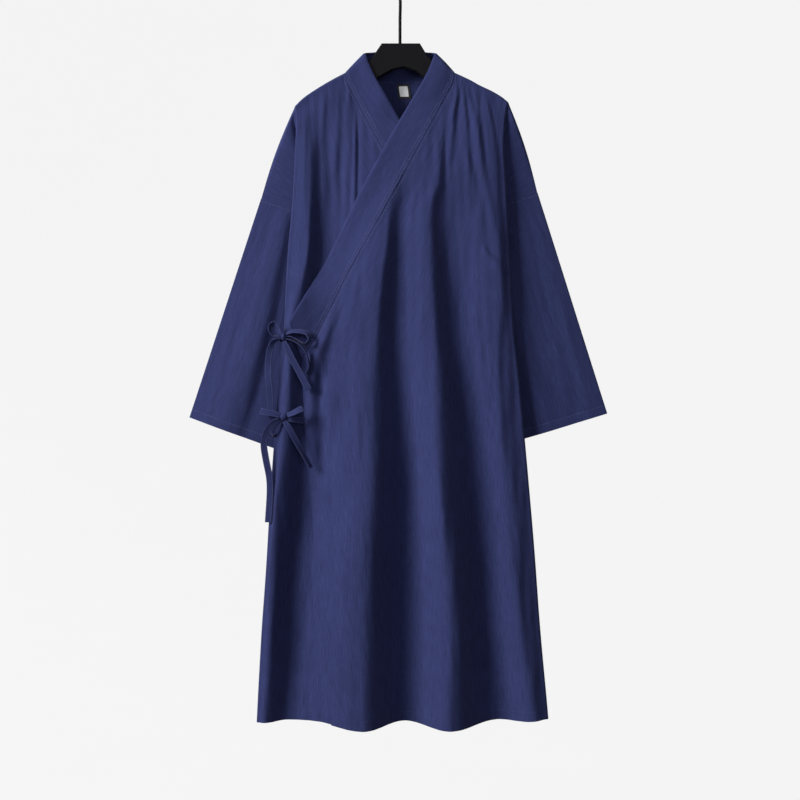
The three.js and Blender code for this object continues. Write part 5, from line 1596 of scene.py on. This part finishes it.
def stitch_piece(name, lines, pitch, thread):
    """One object with all the stitches along the lines."""
    verts, faces = stitch_rows(lines, pitch)
    mesh = bpy.data.meshes.new(name)
    mesh.from_pydata((verts * MM).tolist(), [], faces)
    turn_outward(mesh)
    piece = placed(name, mesh, thread)
    return piece


class WRAP_OT_stitching(bpy.types.Operator):
    """Sew the lines of stitching along the band, hems and cuffs"""

    bl_idname = "wrap_dress.stitching"
    bl_label = "Build Stitching"

    def execute(self, context):
        settings = context.scene.wrap_dress
        surfaces = panel_surfaces(settings.crease_strength)
        lines = []
        hems = []
        for name in ("outer", "under"):
            main = surfaces[name][0]
            rows = main[STITCH_FIRST_ROW: BAND_END_ROW * FRONT_FINE + 1]
            line, normals = even_line(*inset_line(rows, FRONT_STITCH_INSET), STITCH_ROW_STEP)
            lines.append(raised(line, normals, TO_VIEWER, CLOTH_WALL / 2))
            across = main[:, FRONT_HEM_COLUMN]
            row = int(np.argmin(np.abs(across[:, 2] - hem_line(across[:, 0]) - HEM_STITCH_UP)))
            hems.append(raised(*surface_line(main, row=row), TO_VIEWER, CLOTH_WALL / 2))
        back = surfaces["back"]
        row = int(np.argmin(np.abs(back[:, BACK_HEM_COLUMN, 2] - BACK_HEM_Z - HEM_STITCH_UP)))
        hems.append(raised(*surface_line(back, row=row), FROM_VIEWER, CLOTH_WALL / 2))
        line, normals = surface_line(back, row=NECK_STITCH_ROW)
        middle = np.abs(line[:, 0]) < NECK_STITCH_REACH
        lines.append(raised(line[middle], normals[middle], TO_VIEWER, CLOTH_WALL / 2))
        band = surfaces["band"]
        for column in BAND_STITCH_COLUMNS:
            lines.append(raised(*surface_line(band, column=column), outward_of(band), BAND_WALL / 2))
        for name in SIDES:
            tube = surfaces[f"sleeve_{name}"]
            for share in (ARMHOLE_STITCH_SHARE, CUFF_STITCH_SHARE):
                line, normals = surface_line(tube, row=int(round(share * (SLEEVE_RINGS - 1))))
                outward = unit(line - line.mean(axis=0))
                lines.append(raised(line, normals, outward, CLOTH_WALL / 2))
        ties = []
        for name, grid in surfaces.items():
            if not name.startswith("tie_"):
                continue
            for column in TIE_STITCH_COLUMNS:
                line, normals = surface_line(grid, column=column)
                for side in (1, -1):
                    ties.append((line + side * normals * TIE_WALL / 2, side * normals))
        for name, sewn, thread in (
            ("seam_stitching", lines, "light_thread"),
            ("tie_stitching", ties, "light_thread"),
            ("hem_stitching", hems, "dark_thread"),
        ):
            stitch_piece(name, sewn, settings.stitch_pitch, simple_material(thread))
        return {"FINISHED"}


def outward_of(band):
    """Outward directions along the band: to the viewer at the fronts, away from the neck behind it."""
    seam = band[:, 0]
    behind = blend(seam[:, 1], NECK_ROUND_BLEND)
    depth = np.maximum(seam[:, 1], NECK_ROUND_DEPTH)
    round_neck = unit(points(seam[:, 0] * NECK_ROUND_FLATNESS, depth, 0))
    return unit(mix(TO_VIEWER, round_neck, behind[:, None]))


class WRAP_OT_hanger(bpy.types.Operator):
    """Give the hanger and its hook their materials"""

    bl_idname = "wrap_dress.hanger"
    bl_label = "Finish Hanger"

    def execute(self, context):
        for node, material in (("hanger_body", "black_plastic"), ("hanger_hook", "black_wire")):
            for entry in bpy.data.objects[node].material_slots:
                entry.material = simple_material(material)
        return {"FINISHED"}


def studio_bowl():
    """A floor disc, a bend that rises as 1 - cos(angle) while it widens as sin(angle), and a wall, which
    only the camera sees."""
    angle = np.linspace(0, 2 * np.pi, BOWL_SIDES + 1)[None, :]
    bend = np.linspace(0, np.pi / 2, BOWL_BENDS + 1)[1:]
    reach = WALL_RADIUS - FLOOR_RADIUS
    floor_radii = [FLOOR_MIDDLE_RADIUS, FLOOR_RADIUS]
    radius = np.concatenate((floor_radii, FLOOR_RADIUS + reach * np.sin(bend), [WALL_RADIUS]))
    height = np.concatenate(([FLOOR_Z] * 2, FLOOR_Z + reach * (1 - np.cos(bend)), [WALL_TOP]))
    radius = radius[:, None]
    grid = points(radius * np.cos(angle), radius * np.sin(angle), height[:, None])
    rows, columns = grid.shape[:2]
    index = np.arange(rows * columns).reshape(rows, columns)
    quads = np.stack((index[:-1, :-1], index[:-1, 1:], index[1:, 1:], index[1:, :-1]), axis=-1)
    mesh = bpy.data.meshes.new("studio_bowl")
    mesh.from_pydata(grid.reshape(-1, 3).tolist(), [], quads.reshape(-1, 4).tolist())
    mesh.polygons.foreach_set("use_smooth", [True] * len(mesh.polygons))
    pale = simple_material("studio_pale")
    shader = pale.node_tree.nodes["Principled BSDF"]
    shader.inputs["Emission Color"].default_value = WHITE
    shader.inputs["Emission Strength"].default_value = BOWL_GLOW
    mesh.materials.append(pale)
    bowl = bpy.data.objects.new("studio_bowl", mesh)
    bpy.context.scene.collection.objects.link(bowl)
    bowl.visible_diffuse = False
    bowl.visible_glossy = False
    bowl.visible_shadow = False


def studio_light(name, place, size, power):
    """A square light at a place in metres, turned to the middle of the dress."""
    light = bpy.data.lights.new(name, "AREA")
    light.size = size
    light.energy = power
    lamp = bpy.data.objects.new(name, light)
    lamp.location = place
    aim = np.array(LIGHT_AIM) - np.array(place)
    yaw = math.atan2(aim[1], aim[0])
    pitch = math.atan2(math.hypot(aim[0], aim[1]), -aim[2])
    lamp.rotation_euler = (pitch, 0.0, yaw - math.pi / 2)
    lamp.visible_camera = False
    bpy.context.scene.collection.objects.link(lamp)


def photo_camera():
    """The camera straight in front of the dress, at the photo's viewing angle."""
    lens = bpy.data.cameras.new("photo_camera")
    lens.lens = CAMERA_LENS
    lens.sensor_width = SENSOR_WIDTH
    lens.dof.use_dof = False
    lens.clip_end = CAMERA_REACH
    camera = bpy.data.objects.new("photo_camera", lens)
    camera.location = (0.0, CAMERA_Y * MM, CAMERA_Z * MM)
    camera.rotation_euler = (math.pi / 2, 0.0, 0.0)
    bpy.context.scene.collection.objects.link(camera)
    bpy.context.scene.camera = camera


class WRAP_OT_studio(bpy.types.Operator):
    """Build the pale studio, its lights and the camera"""

    bl_idname = "wrap_dress.studio"
    bl_label = "Build Studio"

    def execute(self, context):
        settings = context.scene.wrap_dress
        studio_bowl()
        world = bpy.data.worlds.new("studio_fill")
        world.use_nodes = True
        background = world.node_tree.nodes["Background"]
        background.inputs["Color"].default_value = WHITE
        background.inputs["Strength"].default_value = settings.fill_strength
        context.scene.world = world
        for name, place, size, share in LIGHTS:
            studio_light(name, place, size, settings.key_power * share)
        photo_camera()
        context.scene.view_settings.view_transform = "Standard"
        return {"FINISHED"}


class WRAP_PT_panel(bpy.types.Panel):
    """Sidebar panel of the wrap dress"""

    bl_label = "Wrap Dress"
    bl_idname = "WRAP_PT_panel"
    bl_space_type = "VIEW_3D"
    bl_region_type = "UI"
    bl_category = "Wrap Dress"

    def draw(self, context):
        """Shows every setting, then a button for each operator."""
        settings = context.scene.wrap_dress
        for name in (
            "crease_strength", "cloth_dark", "cloth_light", "stitch_pitch", "key_power", "fill_strength",
        ):
            self.layout.prop(settings, name)
        for operator in OPERATORS:
            self.layout.operator(operator.bl_idname)


OPERATORS = (
    WRAP_OT_studio,
    WRAP_OT_fronts,
    WRAP_OT_back,
    WRAP_OT_band,
    WRAP_OT_sleeves,
    WRAP_OT_bows,
    WRAP_OT_label,
    WRAP_OT_stitching,
    WRAP_OT_hanger,
)


def register():
    """Adds the settings, the operators and the panel to Blender."""
    bpy.utils.register_class(WrapDressSettings)
    for operator in OPERATORS:
        bpy.utils.register_class(operator)
    bpy.utils.register_class(WRAP_PT_panel)
    bpy.types.Scene.wrap_dress = bpy.props.PointerProperty(type=WrapDressSettings)


def unregister():
    """Takes them out again, last first."""
    del bpy.types.Scene.wrap_dress
    bpy.utils.unregister_class(WRAP_PT_panel)
    for operator in reversed(OPERATORS):
        bpy.utils.unregister_class(operator)
    bpy.utils.unregister_class(WrapDressSettings)


def main():
    """Builds every piece."""
    register()
    SURFACES.clear()
    for operator in OPERATORS:
        category, name = operator.bl_idname.split(".")
        getattr(getattr(bpy.ops, category), name)()
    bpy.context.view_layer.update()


if __name__ == "__main__":
    main()
